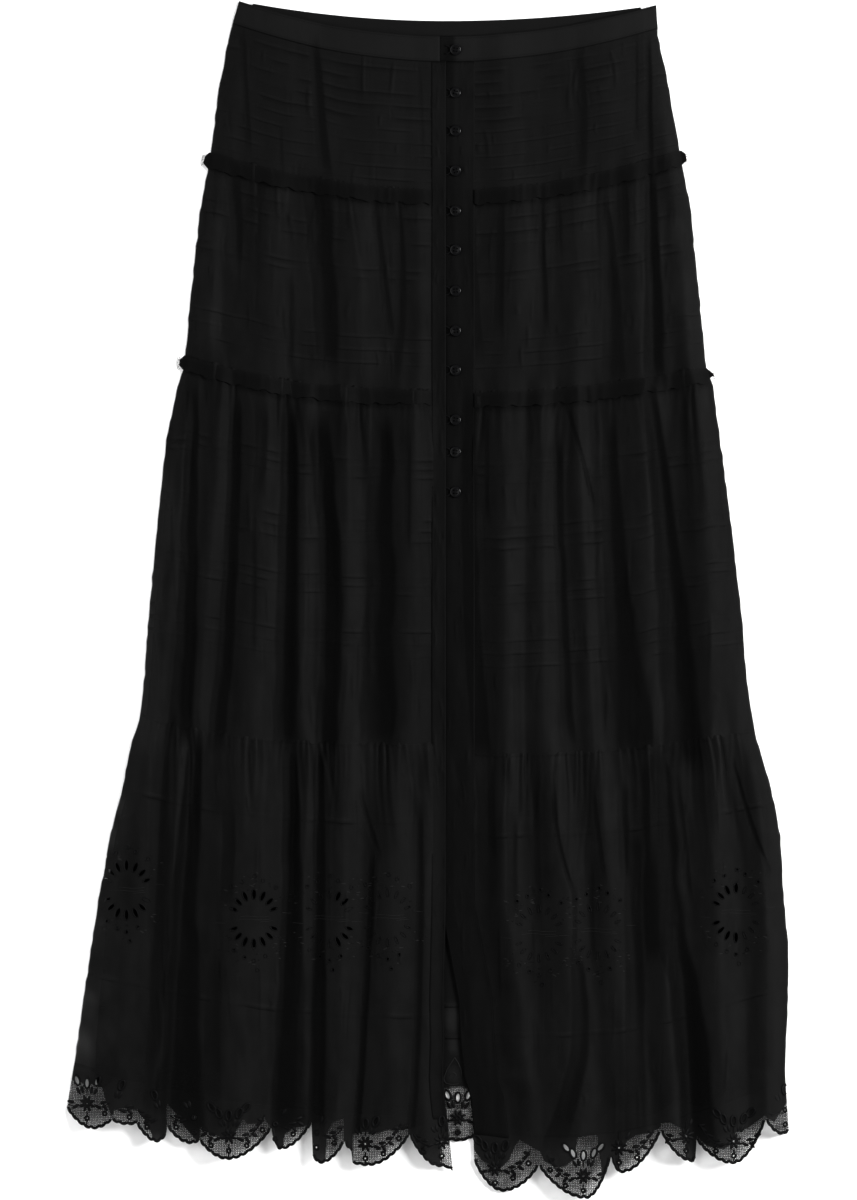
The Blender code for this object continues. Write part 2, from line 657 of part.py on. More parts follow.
def cut(piece, ovals):
    """Cuts a set of ovals through a panel, with one cutter that isn't part of the garment."""
    mesh = bmesh.new()
    for points in ovals:
        low = [mesh.verts.new(place(x, drop, -CUTTER_DEEP / 2)) for x, drop in points]
        high = [mesh.verts.new(place(x, drop, CUTTER_DEEP)) for x, drop in points]
        mesh.faces.new(low)
        mesh.faces.new(high)
        for n in range(len(low)):
            after = (n + 1) % len(low)
            mesh.faces.new((low[n], low[after], high[after], high[n]))
    cutter = finish(mesh, piece.name + "_cutter", SHEER)
    cutter.hide_render = True
    cutter.display_type = "WIRE"
    eyelets = piece.modifiers.new("eyelets", "BOOLEAN")
    eyelets.operation = "DIFFERENCE"
    eyelets.solver = "EXACT"
    eyelets.object = cutter


def petals(half):
    """The largest eyelets of the medallions on one front."""
    found = []
    for medallion in MEDALLIONS:
        if medallion.half != half:
            continue
        for end in (-1, 1):
            for turn in PETAL_TURNS:
                angle = math.radians(turn)
                x = medallion.x + 0.5 * MEDALLION_WIDE * math.sin(angle)
                drop = medallion.drop + end * 0.5 * MEDALLION_TALL * math.cos(angle)
                found.append(oval(x, drop, PETAL, end * turn))
    return found


def fan(half):
    """The teardrop eyelets that fan out above the flowers of the border."""
    found = []
    for centre in FANS:
        if centre.half != half:
            continue
        for turn in FAN_TURNS:
            angle = math.radians(turn)
            found.append(oval(centre.x + FAN_RADIUS * math.sin(angle),
                              centre.drop + FAN_RADIUS * (math.cos(angle) - 1.0), TEARDROP, turn))
    return found


def front(half, scallops):
    """Everything of one front: band, four tiers, two ruffled trims, border and button strip."""
    waistband_front(half)
    for tier, top, bottom, groups in zip(TIERS, FRONT_SEAMS, FRONT_SEAMS[1:], TUCKS):
        panel = front_panel(half, tier, top, bottom, groups)
        if tier.name in TRIMMED:
            trim(half, tier, top, bottom)
        if tier.name == "tier_4":
            cut(panel, petals(half))
    cut(net_border(half, scallops), fan(half))
    button_strip(half)


def back():
    """The back: the same pieces in one width, flat on the surface."""
    back_panel("waistband_back", line_of(BACK_TOP), line_of(BACK_WAIST), BACK_COLUMNS, BAND, top_gap=0.0)
    back_panel("tier_1_back", line_of(BACK_WAIST), line_of(HIP), BACK_COLUMNS, VOILE)
    trim_deep = 11.0
    back_panel("trim_1_back", line_of(HIP), line_of(HIP, trim_deep), BACK_COLUMNS, VOILE)
    back_panel("tier_2_back", line_of(HIP, trim_deep), line_of(THIGH), BACK_COLUMNS, VOILE)
    back_panel("trim_2_back", line_of(THIGH), line_of(THIGH, trim_deep), BACK_COLUMNS, VOILE)
    back_panel("tier_3_back", line_of(THIGH, trim_deep), line_of(BACK_KNEE), BACK_COLUMNS, VOILE)
    back_panel("tier_4_back", line_of(BACK_KNEE), line_of(BACK_NET), BACK_COLUMNS, VOILE)
    cut(back_border(), fan("back"))


def main():
    for leftover in list(bpy.data.objects):
        bpy.data.objects.remove(leftover)
    back()
    front("left", LEFT_HEM)
    front("right", RIGHT_HEM)
    for number, drop in enumerate(BUTTON_DROPS, start=1):
        button(number, drop)


main()
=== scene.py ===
"""The looks of a sheer black tiered maxi skirt with a button front, laid flat on its back.

Every table is in millimetres: x is how far a point lies to the right of the middle of the
laid-out skirt, and drop how far it lies below the top of the waistband. Meshes are in metres,
+Z up from the surface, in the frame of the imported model, whose nodes these pieces replace.
"""

import logging
import math
from collections.abc import Callable, Sequence
from dataclasses import dataclass, field, replace
from enum import Enum

import bpy
import numpy as np
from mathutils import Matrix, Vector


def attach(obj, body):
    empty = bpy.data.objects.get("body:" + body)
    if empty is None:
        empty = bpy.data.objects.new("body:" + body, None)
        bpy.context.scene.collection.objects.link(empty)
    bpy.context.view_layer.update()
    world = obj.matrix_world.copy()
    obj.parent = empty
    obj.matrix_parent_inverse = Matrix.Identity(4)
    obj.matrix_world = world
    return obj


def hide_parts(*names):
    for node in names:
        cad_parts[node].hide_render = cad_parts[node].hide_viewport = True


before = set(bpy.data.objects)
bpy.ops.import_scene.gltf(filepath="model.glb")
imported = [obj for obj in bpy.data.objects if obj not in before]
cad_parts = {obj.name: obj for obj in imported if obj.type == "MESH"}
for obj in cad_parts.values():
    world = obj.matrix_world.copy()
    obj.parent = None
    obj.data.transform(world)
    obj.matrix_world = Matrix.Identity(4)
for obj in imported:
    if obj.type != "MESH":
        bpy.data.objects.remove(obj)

LOG = logging.getLogger("maxi_skirt")
Array = np.ndarray
# Two or three values for each point, and three numbers.
Two = tuple[Array, Array]
Three = tuple[Array, Array, Array]
Triple = tuple[float, float, float]
Material = bpy.types.Material

MM = 0.001
LENGTH = 1034.5
TOP_Y = LENGTH / 2
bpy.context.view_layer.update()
SEED = 4551


class Half(Enum):
    """Which part of the garment a piece belongs to."""

    LEFT = "left"
    RIGHT = "right"
    BACK = "back"

    @property
    def way(self) -> int:
        """Which way a front's outer side lies: -1 to the left, 1 to the right."""
        return -1 if self is Half.LEFT else 1


@dataclass(frozen=True)
class Side:
    """The outline of the laid-out front at one drop."""

    drop: float
    left: float
    right: float


@dataclass(frozen=True)
class StripEdge:
    """The free edges of the two button strips at one drop."""

    drop: float
    left_free: float
    right_free: float


@dataclass(frozen=True)
class Seam:
    """A seam across the front: its drop at the sides and at the strips, and how late it bends."""

    left_edge: float
    left_inner: float
    left_bend: float
    right_inner: float
    right_edge: float
    right_bend: float
    sag: float = 0.0

    def lowered(self, by: float) -> "Seam":
        """The same line, further down."""
        return Seam(self.left_edge + by, self.left_inner + by, self.left_bend, self.right_inner + by,
                    self.right_edge + by, self.right_bend, self.sag)


@dataclass(frozen=True)
class Puff:
    """How high the front stands clear of the back between its folds, at one drop."""

    drop: float
    high: float


@dataclass(frozen=True)
class Fold:
    """A soft vertical fold of a tier: its crest and half width at the tier's top and bottom."""

    top_x: float
    bottom_x: float
    top_half: float
    bottom_half: float
    high: float


@dataclass(frozen=True)
class Furrow:
    """A furrow where the cloth folds under itself, darkened with painted shade, from its top to its bottom.
    """

    x0: float
    x1: float
    x2: float
    drop0: float
    drop1: float
    half0: float
    half1: float
    deep: float

    def reach(self, x: Array, drop: Array, fade: float) -> Array:
        """Which points it can reach, when its ends fade over this length."""
        places = self.x0, self.x1, self.x2
        wide = 2.2 * max(self.half0, self.half1) + 2.0
        beside = (x > min(places) - wide) & (x < max(places) + wide)
        return beside & (drop > self.drop0 - fade) & (drop < self.drop1 + fade)

    def middle(self, share: Array) -> Array:
        """Where its middle lies, on a curve through its three places."""
        bend = 2 * self.x1 - (self.x0 + self.x2) / 2
        return (1 - share) ** 2 * self.x0 + 2 * share * (1 - share) * bend + share ** 2 * self.x2


@dataclass(frozen=True)
class Patch:
    """A patch where the sheer cloth looks lighter, and has fewer layers if some are clear."""

    x: float
    drop: float
    wide: float
    tall: float
    more: float
    clear: float = 0.0


@dataclass(frozen=True)
class Scallop:
    """A scallop of the front hem, or what a fold leaves of it, and its flower's place."""

    x0: float
    drop0: float
    low_x: float
    low_drop: float
    x1: float
    drop1: float
    flower_x: float
    flower_drop: float
    backed: bool = True


@dataclass(frozen=True)
class Oval:
    """A cut eyelet. Its long axis is turned from straight down, in degrees."""

    x: float
    drop: float
    wide: float
    tall: float
    turn: float


# The outline of the laid-out front, as the photo shows it.
SIDES = tuple(Side(*row) for row in (
    (0.0, -163.4, 197.3), (30.3, -172.0, 198.9), (77.0, -181.0, 208.6),
    (128.9, -187.6, 217.6), (182.5, -197.1, 227.6), (258.6, -205.5, 235.1),
    (317.5, -211.0, 240.6), (333.0, -216.5, 246.6), (380.6, -226.5, 252.9),
    (466.2, -235.5, 263.9), (534.6, -241.8, 271.7), (583.9, -244.9, 275.2),
    (622.8, -249.5, 281.2), (641.0, -256.1, 284.7), (682.5, -264.4, 297.4),
    (719.7, -274.1, 304.7), (778.5, -284.8, 308.0), (814.0, -290.6, 311.5),
    (857.2, -296.9, 311.5), (924.7, -306.7, 308.9), (957.6, -312.2, 309.8),
    (976.6, -312.2, 312.2),
))
# How far inside it the back lies, on the left and on the right.
BACK_INSETS = tuple(Side(*row) for row in (
    (0.0, 13.0, 14.0), (40.0, 9.0, 10.0), (90.0, 7.0, 7.5), (180.0, 5.5, 5.5),
    (760.0, 5.0, 5.0), (820.0, 12.0, 8.0), (900.0, 16.0, 12.0), (960.0, 24.0, 14.0),
))
# The free edges of the two button strips.
STRIP_EDGES = tuple(StripEdge(*row) for row in (
    (0.0, 15.7, 10.4), (780.0, 15.7, 10.4), (864.0, 13.9, 26.0),
    (899.0, 14.5, 27.8), (931.0, 13.5, 31.2), (948.0, 14.6, 36.8),
    (985.0, 19.0, 39.9), (1035.0, 21.7, 39.9),
))
# How high the front stands clear of the back between its folds.
PUFFS = tuple(Puff(*row) for row in (
    (0, 1.0), (60, 2.5), (160, 3.0), (330, 4.0), (600, 5.5), (720, 7.5), (900, 8.0), (1035, 5.0),
))

# Where the left and the right halves of a seam meet.
MIDDLE_X = 15.7
# The space under the front, the wall of a solid, and the heights of the lowest cloth and the back.
CLEAR = 1.55
CLOTH = 1.6
LOWEST = 0.1
BACK_HIGH = 0.55
# How wide the fronts' rounded sides and the two strips are, and how far a panel runs under its strip.
SIDE_ROLL = 20.0
LEFT_STRIP = 13.0
RIGHT_STRIP = 30.3
STRIP_LAP = 2.0
# How high the left strip rests on the right one, and how soon the panels rise beside the strips.
LEFT_REST = CLEAR + CLOTH + 0.45
STRIP_RISE = 26.0
# How far above and below a seam the folds of two tiers pass into each other.
BLEND = 28.0
# The drop where a piece's width is measured.
MEASURE_DROP = 500.0

# The seams from the waist down. The back has its own where the front's dips or sags.
TOP = Seam(0.0, 30.3, 2.0, 30.3, 3.5, 2.0)
BACK_TOP = Seam(0.0, 17.3, 2.0, 17.3, 3.5, 2.0)
WAIST = Seam(19.0, 52.4, 2.0, 52.4, 23.4, 2.0)
BACK_WAIST = Seam(19.0, 39.0, 2.0, 39.0, 23.4, 2.0)
HIP = Seam(132.3, 164.4, 2.0, 164.4, 129.8, 2.0)
THIGH = Seam(307.1, 337.4, 2.6, 340.0, 317.5, 2.0)
KNEE = Seam(618.5, 643.5, 3.5, 652.0, 631.5, 1.6, 4.0)
BACK_KNEE = Seam(618.5, 645.0, 3.0, 645.0, 631.5, 2.0)
NET = Seam(921.0, 964.0, 2.0, 974.0, 932.0, 1.8, 16.0)
BACK_NET = Seam(905.0, 938.0, 2.0, 938.0, 905.0, 2.0)
FRONT_SEAMS = (WAIST, HIP, THIGH, KNEE, NET)

# The soft folds of the four tiers, from left to right.
FOLDS = tuple(tuple(Fold(*row) for row in tier) for tier in (
    ((-178, -178, 16, 16, 2.2), (-126, -128, 26, 26, 2.6), (-48, -48, 39, 35, 2.4),
     (62, 62, 26, 35, 2.2), (153, 155, 24, 24, 2.6), (205, 208, 12, 9, 1.5)),
    ((-187, -193, 12, 12, 4.0), (-135, -141, 19, 26, 4.5), (-66, -63, 22, 21, 5.0),
     (-7, -9, 14, 10, 2.5), (73, 73, 22, 19, 4.5), (127, 130, 16, 16, 4.5),
     (176, 183, 11, 11, 3.5), (218, 227, 16, 12, 4.0)),
    ((-206, -240, 10, 9, 3.5), (-178, -200, 10, 10, 5.0), (-143, -154, 22, 19, 8.0),
     (-106, -111, 10, 10, 5.0), (-72, -72, 11, 16, 6.5), (-15, -20, 21, 17, 6.5),
     (61, 67, 21, 14, 6.5), (97, 99, 10, 12, 5.0), (127, 142, 9, 9, 4.5),
     (184, 190, 22, 21, 8.0), (231, 244, 17, 17, 6.0)),
    ((-240, -284, 22, 26, 6.0), (-214, -239, 10, 9, 6.0), (-158, -170, 31, 33, 9.5),
     (-103, -122, 8, 12, 5.0), (-72, -84, 16, 18, 8.0), (-28, -42, 14, 24, 7.0),
     (3, 3, 9, 12, 3.5), (62, 68, 19, 28, 8.5), (107, 128, 14, 30, 7.0),
     (145, 180, 14, 18, 6.0), (190, 216, 14, 14, 7.0), (244, 254, 14, 24, 9.0),
     (289, 296, 17, 14, 5.5)),
))

# Furrows, darkened with painted shade, tier by tier, left before right: each has its own lean, length and
# depth.
FURROWS = tuple(Furrow(*row) for row in (
    (-99, -94, -88, 40, 150, 4.7, 5.5, 0.65), (-161, -158, -155, 29, 128, 2.6, 2.9, 0.5),
    (-127, -127, -126, 108, 148, 1.5, 1.8, 0.4), (-8, -6, -5, 62, 128, 2, 2.2, 0.3),
    (129, 132, 130, 46, 150, 5.5, 6.1, 0.5), (190, 191, 192, 34, 138, 2.6, 3.1, 0.75),
    (180, 180, 180, 36, 116, 1.4, 1.8, 0.45),
    (-97, -91, -86, 158, 312, 11, 9, 0.85), (-169, -166, -164, 150, 225, 6, 4, 0.65),
    (-46, -40, -33, 175, 290, 3.5, 4, 0.55), (-27, -24, -30, 185, 325, 4, 6, 0.6),
    (-120, -119, -121, 240, 312, 3.6, 4.2, 0.5), (64, 62, 61, 172, 285, 2.6, 4.4, 0.55),
    (98, 99, 101, 172, 278, 2.6, 3.5, 0.7), (112, 113, 113, 172, 210, 2.2, 2.4, 0.5),
    (152, 159, 161, 172, 326, 3.3, 10.5, 0.6), (170, 171, 171, 160, 220, 2.6, 2.9, 0.5),
    (192, 194, 196, 152, 326, 4.4, 8.8, 0.9), (38, 40, 45, 176, 305, 2.9, 3.3, 0.6),
    (-203, -207, -214, 335, 640, 4.5, 10.5, 0.95), (-167, -171, -183, 348, 640, 5, 7.5, 0.9),
    (-144, -144, -147, 350, 420, 6, 4, 0.6), (-150, -150, -151, 440, 560, 1.8, 1.8, 0.5),
    (-120, -121, -122, 356, 645, 7, 10.5, 0.95), (-96, -84, -89, 365, 650, 9, 9, 1),
    (-40, -42, -44, 366, 642, 9, 15, 1), (-17, -17, -18, 380, 470, 2.2, 2.5, 0.7),
    (36, 37, 46, 340, 650, 5.4, 7.8, 0.9), (51, 51, 52, 358, 448, 1.7, 1.9, 0.6),
    (112, 115, 122, 384, 640, 4, 5, 0.7), (119, 132, 142, 349, 434, 1.8, 2, 0.85),
    (156, 164, 182, 365, 650, 5, 17, 0.8), (191, 208, 222, 336, 660, 6, 17, 1),
    (77, 77, 78, 555, 650, 3.1, 3.8, 0.35),
    (-230, -232, -226, 650, 915, 7.8, 10.4, 0.45), (-201, -212, -215, 640, 985, 6, 19, 1),
    (-172, -172, -173, 700, 782, 5.7, 5.2, 0.6), (-184, -186, -188, 830, 950, 6, 8, 0.4),
    (-119, -118, -122, 650, 980, 6, 14, 1), (-94, -94, -97, 650, 992, 4.5, 7, 0.85),
    (-57, -50, -42, 690, 738, 2.1, 2.3, 0.7), (-48, -54, -64, 738, 1000, 2.6, 3.3, 0.85),
    (-7, -8, -15, 700, 985, 2.9, 3.6, 0.75),
    (55, 55, 56, 674, 738, 2.9, 3.1, 0.5), (72, 73, 73, 700, 795, 4.3, 4.8, 0.6),
    (92, 93, 94, 684, 792, 3.8, 4.1, 0.5), (109, 113, 126, 684, 772, 1.9, 2.2, 0.85),
    (126, 127, 126, 764, 826, 1.8, 2, 0.7), (128, 130, 110, 826, 985, 5.4, 9.6, 0.75),
    (142, 147, 152, 680, 758, 1.8, 2, 0.75), (141, 141, 142, 752, 830, 2.8, 3, 0.5),
    (168, 169, 171, 680, 760, 4.5, 5, 0.65), (177, 178, 180, 722, 990, 6.5, 9, 0.65),
    (198, 201, 206, 655, 830, 11, 17, 1), (206, 227, 233, 790, 1000, 12, 15, 1),
    (216, 221, 226, 682, 776, 2.9, 3.1, 0.65), (264, 277, 294, 660, 750, 1.9, 2.2, 0.9),
))
# Where the photo shows the sheer cloth darker or lighter than around it.
PATCHES = tuple(Patch(*row) for row in (
    # The first patch is painted shadow on the button strip just below the waistband.
    (18.5, 52, 6.5, 20, -0.8), (238, 500, 24, 140, -0.24), (215, 199, 10, 14, 0.5),
    (219, 251, 9, 18, 0.6), (-195, 232, 8, 14, 0.3), (-190, 268, 12, 20, 0.3),
    (-186, 200, 9, 16, 0.4), (-241, 590, 9, 60, 1.7, 0.35), (-236, 520, 8, 50, 1.5, 0.35),
    (-226, 440, 8, 40, 1.1, 0.25), (-273, 723, 5, 13, 1.0, 0.6),
    (-265, 697, 5, 9, 0.8, 0.5), (-293, 868, 8, 14, 1.0, 0.7),
    (-298, 908, 9, 22, 1.3, 0.75), (-252, 636, 10, 14, 0.4, 0.1),
    (-170, 870, 14, 14, 0.2), (-264, 715, 9, 30, 0.5, 0.15), (-282, 811, 16, 16, 0.5, 0.3),
    (-285, 852, 18, 16, 0.6, 0.35), (-289, 895, 20, 19, 0.9, 0.4), (255, 845, 30, 50, 0.12),
    (-180, 715, 14, 18, 0.2), (70, 900, 34, 60, 0.1), (296, 800, 12, 26, 0.2),
    (-10, 500, 22, 150, -0.3), (-20, 860, 20, 80, -0.12), (-165, 925, 24, 40, 0.15),
))
# Threadbare spots of the back that show in the slit.
BACK_PATCHES = (Patch(21, 880, 6.5, 12, 1.7, 0.75), Patch(22, 903, 5, 7, 1.2, 0.7),
                Patch(22, 929, 5.5, 7, 0.9, 0.6))
# The curls of pale thread that show on the back, in the slit.
SLIT_CURLS = (
    ((23.0, 914.0), (16.5, 923.6), (13.4, 932.0), (14.8, 936.0), (20.2, 937.4), (26.8, 936.6)),
    ((23.0, 914.0), (26.0, 918.5), (28.4, 924.0), (29.4, 929.0)),
    ((19.0, 929.5), (21.5, 926.5), (24.5, 929.0), (22.0, 932.0)),
)

# The scallops of the front hem, from left to right, as far as the furrows leave them to be seen.
LEFT_HEM = tuple(Scallop(*row) for row in (
    (-312.2, 957.6, -288.8, 974.4, -272.8, 966.7, -294.4, 952.8, False),
    (-272.6, 966.7, -259.2, 971.0, -251.8, 970.5, -273.2, 956.2),
    (-251.4, 970.5, -233.5, 985.7, -226.2, 980.0, -227.1, 964.8),
    (-225.0, 973.1, -204.9, 987.6, -197.8, 985.1, -202.0, 965.3),
    (-197.0, 985.1, -172.9, 1000.5, -135.8, 974.9, -171.7, 980.3),
    (-134.9, 975.5, -127.9, 992.2, -100.6, 969.4, -131.8, 970.9),
    (-99.4, 998.2, -93.1, 1004.2, -72.4, 986.1, -96.2, 978.3),
    (-71.8, 986.1, -67.4, 992.2, -66.2, 993.4, -40.0, 975.0),
    (-65.2, 1004.3, -52.7, 1006.3, -16.4, 980.4, -54.0, 987.6),
    (-15.6, 980.4, 11.3, 1007.7, 21.7, 1012.0, 12.0, 986.0),
))
RIGHT_HEM = tuple(Scallop(*row) for row in (
    (39.9, 1002.5, 65.0, 1029.3, 95.4, 1007.0, 58.0, 1009.5),
    (96.2, 1007.0, 136.8, 1034.5, 157.7, 999.9, 134.2, 1015.1, False),
    (158.5, 999.9, 166.2, 1012.5, 200.8, 977.1, 165.0, 991.0),
    (201.4, 977.1, 229.3, 1003.2, 231.2, 999.1, 223.0, 981.0),
    (232.2, 984.4, 263.7, 1004.3, 291.0, 967.2, 263.9, 985.2),
    (291.8, 967.2, 307.2, 980.0, 312.2, 976.6, 309.0, 959.0),
))
# The power that rounds a scallop, how far the border's two ends lean, and its small lobes.
HEM_ROUND = 0.8
HEM_LEAN = 30.0
LOBE_PITCH = 7.0
LOBE_DEEP = 1.5

# Where the cloth of the border ends and its bare net starts, along each half of the front. A drop
# of BELOW keeps the cloth down to the hem.
BELOW = 1100.0
NET_TOPS = {
    Half.LEFT: (
        (-313, 931), (-297, 936), (-282, 936), (-279, 947), (-275.5, 958), (-272.5, 966), (-271, 959),
        (-264, 957), (-250, 959), (-244, 968), (-238.5, 979), (-236, BELOW), (-226, BELOW), (-225, 954),
        (-217, 963), (-210, 974), (-197.5, 988), (-196, 974), (-188, 979), (-175, 983.5), (-167, 979),
        (-159, 966), (-156, 970), (-143.5, 970), (-141.5, 965), (-136, 974), (-134.5, BELOW),
        (-125, BELOW), (-124, 980), (-116, 974), (-100.5, 972), (-99.5, BELOW), (-88.5, BELOW),
        (-87.5, 980), (-82, 969), (-73, 965), (-71.5, BELOW), (-66, BELOW), (-65, 980), (-54, 977),
        (-44, 978.5), (-30, 974), (-17, 970), (-15, BELOW), (10.5, BELOW), (11.5, 983), (22, 990)),
    Half.RIGHT: (
        (40, 994), (46.5, 1003), (57.5, 1008.5), (64.5, 1008), (70, 1003), (75.5, 990), (79, 984.5),
        (95.5, 994), (96.5, 994), (100.5, 1003), (111.5, 1008.5), (118.5, 1007), (126.5, 1001),
        (129, 983), (131.5, 977), (146, 980), (149.5, 1008), (153, BELOW), (163, BELOW), (165.5, 994),
        (172.5, 985), (180, 980), (190.5, 979), (200.5, 974), (201.5, 968), (209, 969), (218, 974),
        (222.5, 987), (224, BELOW), (232, BELOW), (233, 983), (241, 990), (255.5, 992), (263, 987),
        (265.5, 978), (277, 974), (291, 963), (292, 965), (299, 969), (312, 951)),
}


def smooth(share: Array) -> Array:
    """A soft step from 0 to 1."""
    share = np.clip(share, 0.0, 1.0)
    return share * share * (3.0 - 2.0 * share)


def step(past: Array, fade: float) -> Array:
    """A soft step from 0 to 1, which starts this length before its place and ends as far past it."""
    return smooth((past + fade) / (2 * fade))


def crinkle(x: Array, drop: Array, cell_x: float, cell_drop: float, seed: int) -> Array:
    """Smooth seeded noise, for fine wrinkles.

    Args:
        x: Where each point lies across.
        drop: Where it lies down.
        cell_x: How wide a cell of the noise is.
        cell_drop: How deep it is.
        seed: Which noise it is.

    Returns:
        One value from -1 to 1 for each point.
    """
    rows, columns = 64, 257
    lattice = np.random.default_rng(SEED + seed).uniform(-1.0, 1.0, (rows, columns))
    u, v = (x + 400.0) / cell_x, (drop + 50.0) / cell_drop
    u = u + 0.35 * np.sin(v * 1.7 + seed)
    c, r = np.floor(u).astype(int), np.floor(v).astype(int)
    across, along = smooth(u - c), smooth(v - r)
    c0, c1, r0, r1 = c % columns, (c + 1) % columns, r % rows, (r + 1) % rows
    high = lattice[r0, c0] * (1 - across) + lattice[r0, c1] * across
    low = lattice[r1, c0] * (1 - across) + lattice[r1, c1] * across
    return high * (1 - along) + low * along


def ripple(at: Array, cell: float, seed: int) -> Array:
    """Smooth seeded noise from -1 to 1 along one direction."""
    return crinkle(at, 0.0 * at, cell, 9.0, seed)


def column(rows: Sequence, name: str, at: Array) -> Array:
    """A table's named column at any drop, straight between its rows.

    Args:
        rows: The table, in order of drop.
        name: The column.
        at: The drops that are asked for.

    Returns:
        One value for each drop.
    """
    return np.interp(at, [row.drop for row in rows], [getattr(row, name) for row in rows])


def side_x(half: Half, drop: Array) -> Array:
    """Where the front's outline lies at a drop."""
    uneven = 0.6 * ripple(drop, 7.0, 1 if half is Half.LEFT else 2)
    return column(SIDES, half.value, drop) + uneven * np.clip(drop / 40.0, 0.0, 1.0)


def back_x(half: Half, drop: Array) -> Array:
    """Where the back's outline lies: a little inside the front's."""
    return side_x(half, drop) - half.way * column(BACK_INSETS, half.value, drop)


def strip_free(half: Half, drop: Array) -> Array:
    """Where a button strip's free edge lies at a drop."""
    return column(STRIP_EDGES, half.value + "_free", drop)


def strip_seam(half: Half, drop: Array) -> Array:
    """Where a front panel ends at its button strip."""
    return strip_free(half, drop) + (-LEFT_STRIP if half is Half.LEFT else RIGHT_STRIP)


def seam_drop(seam: Seam, half: Half, x: Array) -> Array:
    """The drop of a seam. On the back, each side of the middle has its own curve.

    Args:
        seam: The seam.
        half: The front that it is on, or the back.
        x: Where it is asked for.

    Returns:
        One drop for each x.
    """
    if half is Half.BACK:
        return np.where(x < MIDDLE_X, seam_drop(seam, Half.LEFT, x), seam_drop(seam, Half.RIGHT, x))
    if half is Half.LEFT:
        edge, inner, bend, sag = seam.left_edge, seam.left_inner, seam.left_bend, 0.0
    else:
        edge, inner, bend, sag = seam.right_edge, seam.right_inner, seam.right_bend, seam.sag
    edge_x = column(SIDES, half.value, edge)
    share = np.clip((x - MIDDLE_X) / (edge_x - MIDDLE_X), 0.0, 1.0)
    wobble = 0.8 * ripple(x, 15.0, int(inner)) if inner > WAIST.left_inner else 0.0
    return inner + (edge - inner) * share ** bend + sag * np.sin(math.pi * share) + wobble


def tier_weights(half: Half, x: Array, drop: Array) -> list[Two]:
    """How much each of the four tiers shapes each point.

    Args:
        half: The front that the points are on.
        x: Where each point lies across.
        drop: Where it lies down.

    Returns:
        For each tier, how far down it a point lies and how much the tier shapes that point.
    """
    starts = [seam_drop(seam, half, x) for seam in FRONT_SEAMS]
    starts[-1] = np.full_like(x, LENGTH)
    found = []
    for number, (start, end) in enumerate(zip(starts, starts[1:])):
        weight = np.ones_like(x)
        if number > 0:
            weight = step(drop - start, BLEND)
        if number < len(starts) - 2:
            weight = weight * (1.0 - step(drop - end, BLEND))
        found.append((np.clip((drop - start) / (end - start), 0.0, 1.0), weight))
    return found


